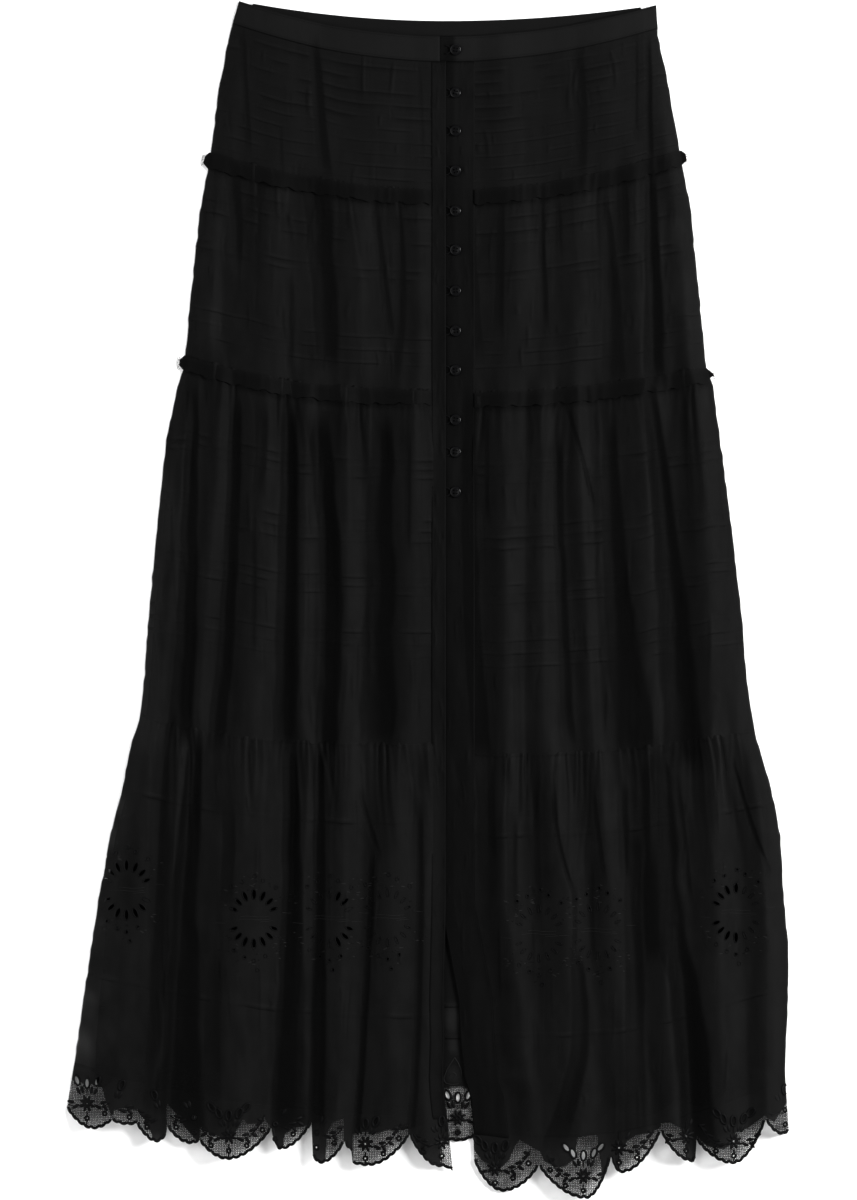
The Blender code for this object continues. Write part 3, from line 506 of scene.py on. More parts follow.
class Drape:
    """How the garment lies: its height over the surface and how light its cloth looks.

    Every method takes the half that the points are on, where each lies across and where it lies
    down, and returns one value for each point.
    """

    FURROW_HIGH = 3.2
    FURROW_SLOPE = 0.42
    FURROW_DARK = 0.9
    END_FADE = 14.0
    FOLD_REACH = 1.3
    SIDE_HIGH = 0.25
    BODY_HIGH = 0.65
    HOLE_SHADE_REACH = 30.0

    def crown(self, half: Half, x: Array, drop: Array) -> Array:
        """How high the front stands above its lowest place: its puff and its folds."""
        total = column(PUFFS, "high", drop)
        for folds, (share, weight) in zip(FOLDS, tier_weights(half, x, drop)):
            for fold in folds:
                middle = fold.top_x + (fold.bottom_x - fold.top_x) * share
                wide = fold.top_half + (fold.bottom_half - fold.top_half) * share
                off = np.minimum(np.abs(x - middle) / wide, self.FOLD_REACH)
                total = total + weight * fold.high * (0.5 + 0.5 * np.cos(math.pi * off / self.FOLD_REACH))
        return total

    def furrow(self, x: Array, drop: Array) -> Two:
        """The front's furrows.

        Args:
            x: Where each point lies across.
            drop: Where it lies down.

        Returns:
            How deep the furrows are at each point, and how dark their cloth looks.
        """
        low = np.zeros_like(x)
        dark = np.zeros_like(x)
        for furrow in FURROWS:
            near = furrow.reach(x, drop, self.END_FADE)
            if not near.any():
                continue
            px, pd = x[near], drop[near]
            share = np.clip((pd - furrow.drop0) / (furrow.drop1 - furrow.drop0), 0.0, 1.0)
            wide = furrow.half0 + (furrow.half1 - furrow.half0) * share
            ends = step(pd - furrow.drop0, self.END_FADE) * (1.0 - step(pd - furrow.drop1, self.END_FADE))
            off = (px - furrow.middle(share)) / wide + 0.16 * crinkle(px, pd, 40.0, 30.0, 5)
            soft = smooth((off + 1.2) / 0.3) * (1.0 - smooth((off - 0.85) / 0.4))
            sunk = np.minimum(self.FURROW_SLOPE * wide, self.FURROW_HIGH)
            sunk = furrow.deep * ends * sunk * (1.0 - smooth(np.abs(off) / 1.35))
            low[near] = np.maximum(low[near], sunk)
            dark[near] = 1.0 - (1.0 - dark[near]) * (1.0 - furrow.deep * ends * soft)
        return low, dark

    def rise(self, half: Half, x: Array, drop: Array) -> Array:
        """How much of the front's height a point has: none at the side seam and beyond it."""
        inward = (side_x(half, drop) - x) * half.way
        return np.sin(0.5 * math.pi * np.clip(inward / SIDE_ROLL, 0.0, 1.0))

    def high(self, half: Half, x: Array, drop: Array) -> Array:
        """The height of the middle of the cloth."""
        if half is Half.BACK:
            return np.full_like(x, BACK_HIGH)
        if half is Half.LEFT:
            near, rest = strip_free(half, drop) - x, LEFT_REST
        else:
            near, rest = x - strip_seam(half, drop), CLEAR
        low, _ = self.furrow(x, drop)
        body = CLEAR + np.maximum(self.crown(half, x, drop) - low, 0.3)
        edge = self.rise(half, x, drop)
        under = edge * (rest + (body - rest) * smooth(near / STRIP_RISE))
        return under + self.SIDE_HIGH + self.BODY_HIGH * edge

    def light(self, half: Half, x: Array, drop: Array) -> Array:
        """How light the cloth looks: 1 where it lies open, near 0 where it folds under itself, with painted
        shade in the furrows.
        """
        more, _ = self.patches(half, x, drop)
        if half is Half.BACK:
            tone = 0.75 + more
            # Painted shadow: the back is darkened under each medallion of the front.
            for medallion in MEDALLIONS[Half.LEFT] + MEDALLIONS[Half.RIGHT]:
                far = np.hypot(x - medallion.x, drop - medallion.drop) / self.HOLE_SHADE_REACH
                tone = tone * (1.0 - 0.9 * np.exp(-far ** 6))
            return tone
        _, dark = self.furrow(x, drop)
        # The furrows' darkness is painted shade.
        return 1.0 - self.FURROW_DARK * dark + more * (1.0 - dark)

    def patches(self, half: Half, x: Array, drop: Array) -> Two:
        """How much lighter the patches make the cloth, and how many layers they clear."""
        more, clear = np.zeros_like(x), np.zeros_like(x)
        for patch in BACK_PATCHES if half is Half.BACK else PATCHES:
            off = ((x - patch.x) / patch.wide) ** 2 + ((drop - patch.drop) / patch.tall) ** 2
            spot = np.exp(-off * off)
            more = more + patch.more * spot
            clear = clear + patch.clear * spot
        return more, clear

    def layers(self, half: Half, x: Array, drop: Array) -> Array:
        """How many layers of sheer cloth lie on each other: about two, and fewer in the patches."""
        return (2.2 if half is Half.BACK else 2.1) - self.patches(half, x, drop)[1]


DRAPE = Drape()


@dataclass(frozen=True)
class Gathers:
    """Fine gathers that run down from a gathered seam: uneven ridges, some long, most short."""

    seed: int
    spacing: float
    high: float
    wide: float
    shortest: float
    longest: float
    lean: float = 0.06
    shade: float = 0.35

    def relief(self, half: Half, x: Array, below: Array, left: float, right: float) -> Two:
        """Ridges under a seam.

        Args:
            half: The front, or the back, that they are on.
            x: Where each point lies across.
            below: How far each point lies below the seam.
            left: Where the piece starts.
            right: Where it ends.

        Returns:
            The height that the ridges add, and the painted shade of the dents between them.
        """
        rng = np.random.default_rng(SEED + self.seed + len(half.value))
        count = max(2, int((right - left) / self.spacing))
        places = np.linspace(left, right, count) + rng.uniform(-0.6, 0.6, count) * self.spacing
        high = np.zeros_like(x)
        dents = np.zeros_like(x)
        middle = 0.5 * (left + right)
        for place in places:
            long = self.shortest + (self.longest - self.shortest) * rng.random() ** 2.2
            lean = self.lean * (place - middle) / (right - left) * 2 + rng.normal(0.0, 0.06)
            wide = self.wide * rng.uniform(0.7, 1.3)
            strong = rng.uniform(0.35, 1.5) * (0.6 + 0.4 * math.sin(place / 9.0 + self.seed))
            fade = np.exp(-((np.maximum(below, 0.0) / long) ** 1.6))
            off = (x - place - lean * below + 0.8 * np.sin(below / 13.0 + place)) / (
                wide * (1.0 + np.maximum(below, 0.0) / 90.0))
            high += strong * self.high * fade * np.exp(-off * off)
            gap = (off - 1.9) / 0.9
            dents += strong * fade * np.exp(-gap * gap)
        return high, self.shade * np.minimum(dents, 1.3)


@dataclass(frozen=True)
class Creases:
    """Short crisp puckers scattered over a piece: a thin line of painted shade beside a low ridge with a
    painted highlight.
    """

    seed: int
    count: int
    shortest: float = 10.0
    longest: float = 60.0
    wide: float = 0.9
    high: float = 0.5
    shade: float = 0.5

    def relief(self, x: Array, below: Array, left: float, right: float, deep: float) -> Two:
        """The puckers of a piece.

        Args:
            x: Where each point lies across.
            below: How far each point lies below the piece's top.
            left: Where the piece starts.
            right: Where it ends.
            deep: How deep the piece is.

        Returns:
            The height that they add, and the tone: below 0 for the painted shade of the lines, above 0 for
                the painted highlight on the ridges.
        """
        rng = np.random.default_rng(SEED + self.seed)
        high, tone = np.zeros_like(x), np.zeros_like(x)
        for _ in range(self.count):
            place, start = rng.uniform(left, right), rng.uniform(-0.1, 0.9) * deep
            long = self.shortest + (self.longest - self.shortest) * rng.random() ** 2
            lean, bend = rng.normal(0.0, 0.05), rng.normal(0.0, 1.2)
            wide, strong = self.wide * rng.uniform(0.7, 1.5), rng.uniform(0.3, 1.0)
            way = rng.choice((-1.0, 1.0))
            share = (below - start) / long
            near = (share > 0.0) & (share < 1.0) & (np.abs(x - place) < 8.0 + 0.2 * long)
            if not near.any():
                continue
            share = share[near]
            fade = smooth(4.0 * share) * smooth(2.5 * (1.0 - share)) * strong
            off = (x[near] - place - lean * share * long - bend * np.sin(math.pi * share)) / wide
            ridge = np.exp(-((off - 1.9 * way) / 1.3) ** 2)
            high[near] += self.high * fade * ridge
            tone[near] += fade * (0.35 * self.shade * ridge - self.shade * np.exp(-off * off))
        return high, np.clip(tone, -0.8, 0.4)


@dataclass(frozen=True)
class Tucks:
    """Narrow tucks pressed downwards across a tier, at shares of its depth."""

    groups: tuple[tuple[float, ...], ...]
    deep: float = 3.0
    high: float = 0.62
    line: float = 0.3
    seen: float = 0.5
    shade_deep: float = 1.3

    @property
    def shares(self) -> list[float]:
        """Every tuck's place, as a share of the tier's depth."""
        return [share for group in self.groups for share in group]

    def rows(self, depth: float) -> list[float]:
        """The rows of points that the tucks' sewn lines and free edges need.

        Args:
            depth: How deep the tier is.

        Returns:
            Their shares of that depth.
        """
        sewn, free = (-0.5, 0.0, 1.0), (-0.2, 0.15, self.shade_deep)
        found = []
        for share in self.shares:
            found += [share + off / depth for off in sewn]
            found += [share + (self.deep + off) / depth for off in free]
        return found

    def relief(self, share: Array, depth: float) -> Three:
        """The tucks of a tier.

        Args:
            share: How far down the tier each point lies.
            depth: How deep the tier is.

        Returns:
            The height that the tucks add, their layers of cloth, and their shadow's tone.
        """
        high = np.zeros_like(share)
        layers = np.ones_like(share)
        shadow = np.zeros_like(share)
        for start in self.shares:
            down = (share - start) * depth
            on = (down > -0.05) & (down <= self.deep)
            high = np.where(on, self.high * (0.45 + 0.55 * smooth(down / self.deep)), high)
            layers = np.where(on, 3.0, layers)
            edge = (down > self.deep) & (down < self.deep + self.shade_deep)
            shadow = np.where(edge, self.line, shadow)
        return high, layers, shadow


def turned(across: Array, along: Array, turn: float) -> Two:
    """A shape's own across and along as x and drop, when it is turned from straight down."""
    sin, cos = math.sin(math.radians(turn)), math.cos(math.radians(turn))
    return across * cos + along * sin, along * cos - across * sin


def open_eyelets(x: Array, drop: Array, ovals: Sequence[Oval]) -> Three:
    """Opens ovals in a grid: it drops the cells inside and moves their rim onto the oval.

    Args:
        x: Where each point of the grid lies across.
        drop: Where it lies down.
        ovals: The eyelets.

    Returns:
        The moved grid, as x and drop, and which of its cells are kept.
    """
    x, drop = x.copy(), drop.copy()
    kept = np.ones((x.shape[0] - 1, x.shape[1] - 1), bool)
    for oval in ovals:
        reach = max(oval.wide, oval.tall)
        near = np.argwhere((np.abs(x - oval.x) < reach) & (np.abs(drop - oval.drop) < reach))
        if not len(near):
            continue
        (r0, c0), (r1, c1) = near.min(0), near.max(0) + 1
        spot = np.s_[r0:r1, c0:c1]
        across, along = turned(x[spot] - oval.x, drop[spot] - oval.drop, -oval.turn)
        out = np.hypot(across / (oval.wide / 2), along / (oval.tall / 2))
        inside = out < 1.0
        corners = inside[:-1, :-1] * 1 + inside[1:, :-1] + inside[:-1, 1:] + inside[1:, 1:]
        kept[r0:r1 - 1, c0:c1 - 1] &= corners < (3 if oval.wide > OPEN_WIDE else 4)
        push = np.where(inside, 1.0 / np.maximum(out, 0.05), 1.0)
        dx, dd = turned(across * push, along * push, oval.turn)
        x[spot] = oval.x + dx
        drop[spot] = oval.drop + dd
    return x, drop, kept


def new_object(name: str, data: bpy.types.ID) -> bpy.types.Object:
    """Makes an object and links it to the scene."""
    made = bpy.data.objects.new(name, data)
    bpy.context.scene.collection.objects.link(made)
    return made


def make_mesh(name: str, points: Array, faces: Sequence[Array], material: Material,
              marks: dict[str, Array] | None = None) -> bpy.types.Object:
    """Makes an object from points in millimetres.

    Args:
        name: The object's name.
        points: One row for each point: x, drop and height.
        faces: Arrays of faces, each with its own number of corners.
        material: The finish.
        marks: Values at the points that the finish reads.

    Returns:
        The object, linked to the scene and shaded smooth.
    """
    used = np.unique(np.concatenate([f.reshape(-1) for f in faces]))
    index = np.full(len(points), -1)
    index[used] = np.arange(len(used))
    world = np.column_stack([points[:, 0], TOP_Y - points[:, 1], points[:, 2]])[used] * MM
    mesh = bpy.data.meshes.new(name)
    mesh.vertices.add(len(used))
    mesh.vertices.foreach_set("co", world.astype(np.float32).reshape(-1))
    corners = np.concatenate([index[f].reshape(-1) for f in faces])
    sizes = np.concatenate([np.full(len(f), f.shape[1]) for f in faces])
    mesh.loops.add(len(corners))
    mesh.loops.foreach_set("vertex_index", corners.astype(np.int32))
    mesh.polygons.add(len(sizes))
    mesh.polygons.foreach_set("loop_start", np.concatenate([[0], np.cumsum(sizes)[:-1]]).astype(np.int32))
    mesh.update(calc_edges=True)
    mesh.validate()
    for key, values in (marks or {}).items():
        mark = mesh.attributes.new(key, "FLOAT", "POINT")
        mark.data.foreach_set("value", values.reshape(-1)[used].astype(np.float32))
    mesh.shade_smooth()
    mesh.materials.append(material)
    return new_object(name, mesh)


def grid_faces(rows: int, columns: int, kept: Array | None = None) -> Array:
    """The quads of a grid of points, facing up for columns that run to +X and rows that run down."""
    index = np.arange(rows * columns).reshape(rows, columns)
    quads = np.stack([index[:-1, :-1], index[1:, :-1], index[1:, 1:], index[:-1, 1:]], axis=-1)
    return quads[kept] if kept is not None else quads.reshape(-1, 4)


class Socket:
    """A node's output in an expression. The operators add Math nodes."""

    def __init__(self, nodes: "Nodes", socket: bpy.types.NodeSocket) -> None:
        """Keeps the socket and the tree it belongs to."""
        self.nodes = nodes
        self.socket = socket

    def _math(self, operation: str, first: "Socket | float", second: "Socket | float") -> "Socket":
        """Adds one Math node."""
        return self.nodes.add("ShaderNodeMath", {"operation": operation}, {0: first, 1: second})

    def __add__(self, other: "Socket | float") -> "Socket":
        """self + other."""
        return self._math("ADD", self, other)

    __radd__ = __add__

    def __sub__(self, other: "Socket | float") -> "Socket":
        """self - other."""
        return self._math("SUBTRACT", self, other)

    def __rsub__(self, other: float) -> "Socket":
        """other - self."""
        return self._math("SUBTRACT", other, self)

    def __mul__(self, other: "Socket | float") -> "Socket":
        """self * other."""
        return self._math("MULTIPLY", self, other)

    __rmul__ = __mul__

    def __rpow__(self, other: float) -> "Socket":
        """other ** self."""
        return self._math("POWER", other, self)

    def clipped(self, low: float, high: float) -> "Socket":
        """self, held between two values."""
        return self._math("MINIMUM", self._math("MAXIMUM", self, low), high)


class Nodes:
    """The node tree of one material."""

    def __init__(self, name: str) -> None:
        """Starts a material that holds a Principled BSDF and its output."""
        self.material = bpy.data.materials.new(name)
        self.material.use_nodes = True
        self.tree = self.material.node_tree
        self.shader = self.tree.nodes["Principled BSDF"]

    def _give(self, socket: bpy.types.NodeSocket, value: object) -> None:
        """Links or sets one input."""
        if isinstance(value, Socket):
            self.tree.links.new(value.socket, socket)
        else:
            socket.default_value = value

    def add(self, kind: str, settings: dict[str, object], inputs: dict, output: int | str = 0) -> Socket:
        """Adds a node.

        Args:
            kind: The node's type.
            settings: Its properties, set first.
            inputs: Values or sockets by input name or number.
            output: The output to return.

        Returns:
            That output.
        """
        node = self.tree.nodes.new(kind)
        for key, value in settings.items():
            setattr(node, key, value)
        for key, value in inputs.items():
            self._give(node.inputs[key], value)
        return Socket(self, node.outputs[output])

    def mark(self, name: str) -> Socket:
        """A value kept at the mesh's points."""
        return self.add("ShaderNodeAttribute", {"attribute_name": name}, {}, "Fac")

    def place(self, stretch: Triple) -> Socket:
        """The place of a point, in metres, stretched along each axis."""
        spot = self.add("ShaderNodeTexCoord", {}, {}, "Object")
        return self.add("ShaderNodeMapping", {}, {"Vector": spot, "Scale": stretch})

    def noise(self, stretch: Triple, detail: float = 2.0) -> Socket:
        """Soft noise from 0 to 1, with its own scale along each axis, in 1/m."""
        inputs = {"Vector": self.place(stretch), "Scale": 1.0, "Detail": detail, "Roughness": 0.55}
        return self.add("ShaderNodeTexNoise", {}, inputs, 0)

    def colour(self, amount: Socket, low: tuple, high: tuple) -> Socket:
        """A colour between two."""
        settings = {"data_type": "RGBA"}
        return self.add("ShaderNodeMix", settings, {0: amount, 6: (*low, 1.0), 7: (*high, 1.0)}, 2)

    def bump(self, height: Socket, strength: float, distance: float) -> Socket:
        """A normal from a height in 0 to 1."""
        inputs = {"Height": height, "Strength": strength, "Distance": distance}
        return self.add("ShaderNodeBump", {}, inputs)

    def finish(self, **inputs: object) -> Material:
        """Sets the shader's sockets, by name with _ for a space, and returns the material."""
        for key, value in inputs.items():
            self._give(self.shader.inputs[key.replace("_", " ")], value)
        return self.material


@dataclass(frozen=True)
class Voile:
    """Thin crisp black cotton: a fine plain weave with slubs, see-through in one layer."""

    name: str
    deep: Triple = (0.0004, 0.0004, 0.0004)
    light: Triple = (0.0027, 0.0027, 0.0027)
    through: float = 0.13
    specular: float = 0.025
    net_through: float = 0.0

    LIGHTEST = 1.8
    THREAD = 2600.0

    def weave(self, nodes: Nodes) -> Socket:
        """The crossing threads, as a height."""
        inputs = {"Vector": nodes.place((1, 1, 1)), "Scale": self.THREAD / 6.28, "Distortion": 1.2}
        warp = nodes.add("ShaderNodeTexWave", {"bands_direction": "X"}, inputs)
        weft = nodes.add("ShaderNodeTexWave", {"bands_direction": "Y"}, inputs)
        return warp * 0.5 + weft * 0.5

    def material(self) -> Material:
        """Builds the material."""
        nodes = Nodes(self.name)
        slub = nodes.noise((420, 28, 200), 3.0) * 0.5 + nodes.noise((30, 520, 200), 3.0) * 0.5
        cloud = nodes.noise((22, 9, 20), 2.0)
        # The light mark carries painted shade and highlights from furrows, dents, creases, seams, tucks and
        # rolled edges, along with tone that varies at random.
        tone = nodes.mark("light") * (0.62 + slub * 0.46 + cloud * 0.3)
        colour = nodes.colour(tone * (1.0 / self.LIGHTEST), self.deep,
                              tuple(self.LIGHTEST * c for c in self.light))
        layers = nodes.mark("layers")
        alpha = 1.0 - (self.through ** layers)
        if self.net_through:
            mesh = nodes.add("ShaderNodeTexVoronoi",
                             {"feature": "DISTANCE_TO_EDGE", "voronoi_dimensions": "2D"},
                             {"Vector": nodes.place((1, 1, 1)), "Scale": 720.0, "Randomness": 0.55})
            holes = (mesh - 0.16) * 6.0
            net = 1.0 - holes.clipped(0.0, 1.0) * self.net_through
            cover = nodes.mark("net")
            alpha = alpha * (1.0 - cover) + net * cover
        relief = self.weave(nodes) * 0.35 + slub * 0.65
        return nodes.finish(Base_Color=colour, Alpha=alpha, Roughness=0.5 + slub * 0.25,
                            Normal=nodes.bump(relief, 0.5, 0.0005), Specular_IOR_Level=self.specular,
                            Sheen_Weight=0.004, Sheen_Roughness=0.5)


@dataclass(frozen=True)
class Thread:
    """Twisted embroidery and sewing thread, with a soft gloss along its stitches."""

    name: str
    colour: Triple = (0.0013, 0.0013, 0.0014)
    rough: float = 0.42

    def material(self) -> Material:
        """Builds the material."""
        nodes = Nodes(self.name)
        twist = nodes.noise((1500, 1500, 1500), 2.0)
        dust = nodes.noise((60, 60, 60), 2.0)
        tint = nodes.colour(0.35 * twist + 0.65 * dust, tuple(0.5 * c for c in self.colour),
                            tuple(1.5 * c for c in self.colour))
        return nodes.finish(Base_Color=tint, Roughness=self.rough + 0.2 * twist,
                            Normal=nodes.bump(twist, 0.6, 0.0003), Specular_IOR_Level=0.04)


@dataclass(frozen=True)
class Shell:
    """Polished black buttons with faint clouds and fine scratches."""

    name: str

    def material(self) -> Material:
        """Builds the material."""
        nodes = Nodes(self.name)
        cloud = nodes.noise((240, 160, 240), 3.0)
        scratch = nodes.noise((4000, 300, 900), 2.0)
        tint = nodes.colour(cloud, (0.0004, 0.0004, 0.0005), (0.0025, 0.0025, 0.0028))
        return nodes.finish(Base_Color=tint, Roughness=0.14 + 0.14 * scratch,
                            Normal=nodes.bump(scratch, 0.12, 0.0002), Specular_IOR_Level=0.085)


Line = Callable[[Array], Array]
# The petals of a quarter of a medallion: how far each is turned, its width and its length.
PETALS = ((0, 3.2, 8.6), (24, 3.1, 8.4), (46, 2.8, 7.6), (67, 2.5, 6.4))
MEDALLION_REACH = (18.6, 21.4)
# The small round eyelets above and below a medallion, from its middle.
DOTS = ((1, -37), (-10, -32), (8, -33), (19, -27), (-19, -28), (0, 36), (-8, 33), (10, 32), (-17, 27),
        (3, 44))
# Eyelets wider than this are cut to their full size. Narrower ones stay a little smaller.
OPEN_WIDE = 2.2


@dataclass(frozen=True)
class Medallion:
    """A ring of eyelets. Those between two sides, as shares of its reach, gape; the rest stay shut."""

    x: float
    drop: float
    from_side: float = -1.1
    to_side: float = 1.1


# The last one of the left front and the first two of the right one are shut all round.
MEDALLIONS = {
    Half.LEFT: (Medallion(-260.0, 768.5), Medallion(-150.0, 793.2), Medallion(-85.0, 793.2, 0.0, 1.1),
                Medallion(-34.5, 792.0, 1.2, 1.3)),
    Half.RIGHT: (Medallion(96.0, 806.0, 1.2, 1.3), Medallion(147.0, 804.0, 1.2, 1.3),
                 Medallion(266.0, 788.0, -1.1, 0.05)),
}
# The row of buttons, the first of which is on the waistband.
BUTTON_X = 23.9
BUTTON_RADIUS = 5.0
BUTTON_DROPS = (42.4, 79.6, 112.5, 147.0, 181.7, 215.4, 250.9, 285.5, 319.5, 362.4, 390.2, 424.7)
# The even scallops of the back hem: the line of their lowest points, and their size.
BACK_HEM = ((-300, 938), (-200, 950), (-100, 964), (26, 986), (140, 970), (235, 957), (305, 944))
SCALLOP_WIDE = 54.0
SCALLOP_DEEP = 12.0
BACK_SCALLOP_X = 26.0
# The inner ends of the waistband's two fronts.
BAND_END = 10.4
BAND_TAB = 7.4


@dataclass(frozen=True)
class Area:
    """A stretch of cloth between its left and right sides and between its top and bottom lines."""

    left: Line
    right: Line
    top: Line
    bottom: Line

    def grid(self, shares: Sequence[float], columns: int) -> Two:
        """The points where rows meet columns.

        Args:
            shares: The rows, as shares of the depth.
            columns: How many columns of cells there are.

        Returns:
            Their x and drop.
        """
        across = np.linspace(0.0, 1.0, columns + 1)[None, :]
        share = np.asarray(shares)[:, None]
        start = 0.5 * (self.top(np.zeros(1)) + self.bottom(np.zeros(1)))
        x = self.left(start) + (self.right(start) - self.left(start)) * across + 0.0 * share
        drop = x
        for _ in range(8):
            high, low = self.top(x), self.bottom(x)
            drop = high + (low - high) * share
            x = self.left(drop) + (self.right(drop) - self.left(drop)) * across
        return x, drop


def seam_line(seam: Seam, half: Half, lower: float = 0.0) -> Line:
    """A seam as a line across, or a line this far below it."""
    return lambda x: seam_drop(seam, half, x) + lower


def side_line(half: Half, past: float = 0.0) -> Line:
    """A front's outer side as a line down, or a line this far past it."""
    return lambda d: side_x(half, d) + half.way * past


def front_area(half: Half, outer: Line, inner: Line, top: Line, bottom: Line) -> Area:
    """The area of a piece of one front, whose outer side is its left or its right one."""
    return Area(outer, inner, top, bottom) if half is Half.LEFT else Area(inner, outer, top, bottom)


def back_area(top: Seam, bottom: Seam) -> Area:
    """The area of a back panel."""
    return Area(lambda d: back_x(Half.LEFT, d), lambda d: back_x(Half.RIGHT, d),
                seam_line(top, Half.BACK), seam_line(bottom, Half.BACK))


class Finishes:
    """The finishes of the skirt, one material each."""

    def __init__(self) -> None:
        """Builds every material once."""
        self.voile = Voile("black_voile").material()
        self.net = Voile("black_net", net_through=0.92).material()
        self.band = Voile("black_band_cotton", light=(0.0042, 0.0042, 0.0042), through=0.01).material()
        self.thread = Thread("black_thread").material()
        self.pale_thread = Thread("pale_highlight_thread", (0.0065, 0.0065, 0.0065)).material()
        self.shell = Shell("black_buttons").material()


class Work:
    """Raised thread work: it collects cords, leaves and rings and lays them on a surface."""

    LEAF_POINT = 0.35
    STITCH = (2.2, 0.9, 0.2)

    def __init__(self, surface: Callable[[Array, Array], Array]) -> None:
        """Keeps the surface, a height for any x and drop."""
        self.surface = surface
        self.parts: list[Array] = []
        self.quads: list[Array] = []
        self.threes: list[Array] = []
        self.count = 0

    def _keep(self, points: Array, quads: Array | None = None, threes: Array | None = None) -> None:
        """Adds points, as x, drop and how far above the surface, and their faces."""
        if quads is not None:
            self.quads.append(quads + self.count)
        if threes is not None:
            self.threes.append(threes + self.count)
        self.parts.append(points)
        self.count += len(points)

    def cord(self, path: Array, radius: Array | float, closed: bool = False, flat: float = 0.8,
             lift: float = 0.0, sides: int = 6) -> None:
        """A cord along a path.

        Args:
            path: Its middle, as rows of x and drop.
            radius: Its radius, one value or one at each row.
            closed: True if it runs round to its start.
            flat: How high it is for its width.
            lift: How far its middle lies above the surface.
            sides: How many sides it has.
        """
        count = len(path)
        if closed:
            along = np.roll(path, -1, 0) - np.roll(path, 1, 0)
        else:
            along = np.gradient(path, axis=0)
        along = along / np.maximum(np.hypot(along[:, 0], along[:, 1]), 1e-9)[:, None]
        across = np.column_stack([-along[:, 1], along[:, 0]])
        radius = np.broadcast_to(np.asarray(radius, float), (count,))
        turn = 2 * math.pi * (np.arange(sides) + 0.5) / sides
        side = (radius[:, None] * np.cos(turn)[None, :])
        xy = path[:, None, :] + across[:, None, :] * side[:, :, None]
        up = lift + flat * radius[:, None] * np.sin(turn)[None, :]
        points = np.concatenate([xy, up[:, :, None]], axis=2).reshape(-1, 3)
        first = np.arange(count if closed else count - 1)[:, None] * sides
        after = (first + sides) % (count * sides)
        here = np.arange(sides)[None, :]
        beside = (here + 1) % sides
        corners = [first + here, first + beside, after + beside, after + here]
        self._keep(points, np.stack(corners, -1).reshape(-1, 4))

    def leaf(self, x: float, drop: float, wide: float, tall: float, turn: float,
             high: float = 0.55) -> None:
        """A padded leaf or petal: a low dome that is pointed at its ends.

        Args:
            x: Where its middle lies across.
            drop: Where it lies down.
            wide: Its width.
            tall: Its length.
            turn: How far it is turned from straight down, in degrees.
            high: Its height.
        """
        sides = 12
        angle = 2 * math.pi * np.arange(sides) / sides
        rows = [np.array([[x, drop, high]])]
        for size, up in ((0.55, 0.8), (0.85, 0.4), (1.0, -0.15)):
            along = np.cos(angle) * tall / 2 * size
            across = np.sin(angle) * np.abs(np.sin(angle)) ** self.LEAF_POINT * wide / 2 * size
            dx, dd = turned(across, along, turn)
            rows.append(np.column_stack([x + dx, drop + dd, np.full(sides, up * high)]))
        first = np.arange(sides)
        after = (first + 1) % sides
        threes = np.column_stack([np.zeros(sides, int), 1 + after, 1 + first])
        rings = [[s + first, s + after, s + sides + after, s + sides + first] for s in (1, 1 + sides)]
        quads = np.concatenate([np.column_stack(ring) for ring in rings])
        self._keep(np.concatenate(rows), quads, threes)

    def rim(self, oval: Oval, thick: float) -> None:
        """The overcast edge of an eyelet."""
        angle = 2 * math.pi * np.arange(18) / 18
        dx, dd = turned((oval.wide / 2 + 0.5 * thick) * np.sin(angle),
                        (oval.tall / 2 + 0.5 * thick) * np.cos(angle), oval.turn)
        path = np.column_stack([oval.x + dx, oval.drop + dd])
        self.cord(path, 0.72 * thick, closed=True, flat=0.75, lift=0.15)

    def stitches(self, path: Array) -> None:
        """A row of single stitches along a path, which is rows of x and drop."""
        long, gap, radius = self.STITCH
        at = np.concatenate([[0.0], np.cumsum(np.hypot(*np.diff(path, axis=0).T))])
        start = 0.0
        while start + long < at[-1]:
            spot = np.linspace(start, start + long, 4)
            line = np.column_stack([np.interp(spot, at, path[:, 0]), np.interp(spot, at, path[:, 1])])
            self.cord(line, radius * np.array([0.6, 1.0, 1.0, 0.6]), lift=0.12, sides=4)
            start += long + gap

    def build(self, name: str, material: Material, slot: str,
              inside: Callable[[Array], Array] | None = None) -> bpy.types.Object:
        """Makes the object, on its surface.

        Args:
            name: The object's name.
            material: Its finish.
            slot: Not used.
            inside: Says of each middle of a face, as x and drop, whether it is kept.

        Returns:
            The object, which rides on the skirt.
        """
        points = np.concatenate(self.parts)
        if inside is not None:
            self.quads = [q[inside(points[q].mean(1))] for q in self.quads]
            self.threes = [t[inside(points[t].mean(1))] for t in self.threes]
        points[:, 2] += self.surface(points[:, 0], points[:, 1])
        faces = [np.concatenate(self.quads)] if self.quads else []
        if self.threes:
            faces.append(np.concatenate(self.threes))
        piece = make_mesh(name, points, faces, material)
        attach(piece, "root")
        return piece


@dataclass
class Skin:
    """The points of a piece of cloth while its relief is worked out, from its smooth drape on."""

    x: Array
    drop: Array
    top: Array
    bottom: Array
    edge: Array | float
    keep: Array | float
    high: Array
    light: Array
    layers: Array

    @property
    def below(self) -> Array:
        """How far each point lies below the piece's top line."""
        return self.drop - self.top

    def darken(self, amount: Array | float) -> None:
        """Takes this share of the light away."""
        self.light = self.light * (1.0 - amount)


@dataclass(frozen=True)
class Wrinkle:
    """One kind of wrinkle of crumpled cloth: its cells, and how it changes height and light."""

    wide: float
    tall: float
    seed: int
    high: float
    light: float
    sharp: float = 0.0

    def at(self, x: Array, drop: Array) -> Array:
        """Its value at each point, from -1 to 1."""
        value = crinkle(x, drop, self.wide, self.tall, self.seed)
        return np.tanh(self.sharp * value) if self.sharp else value


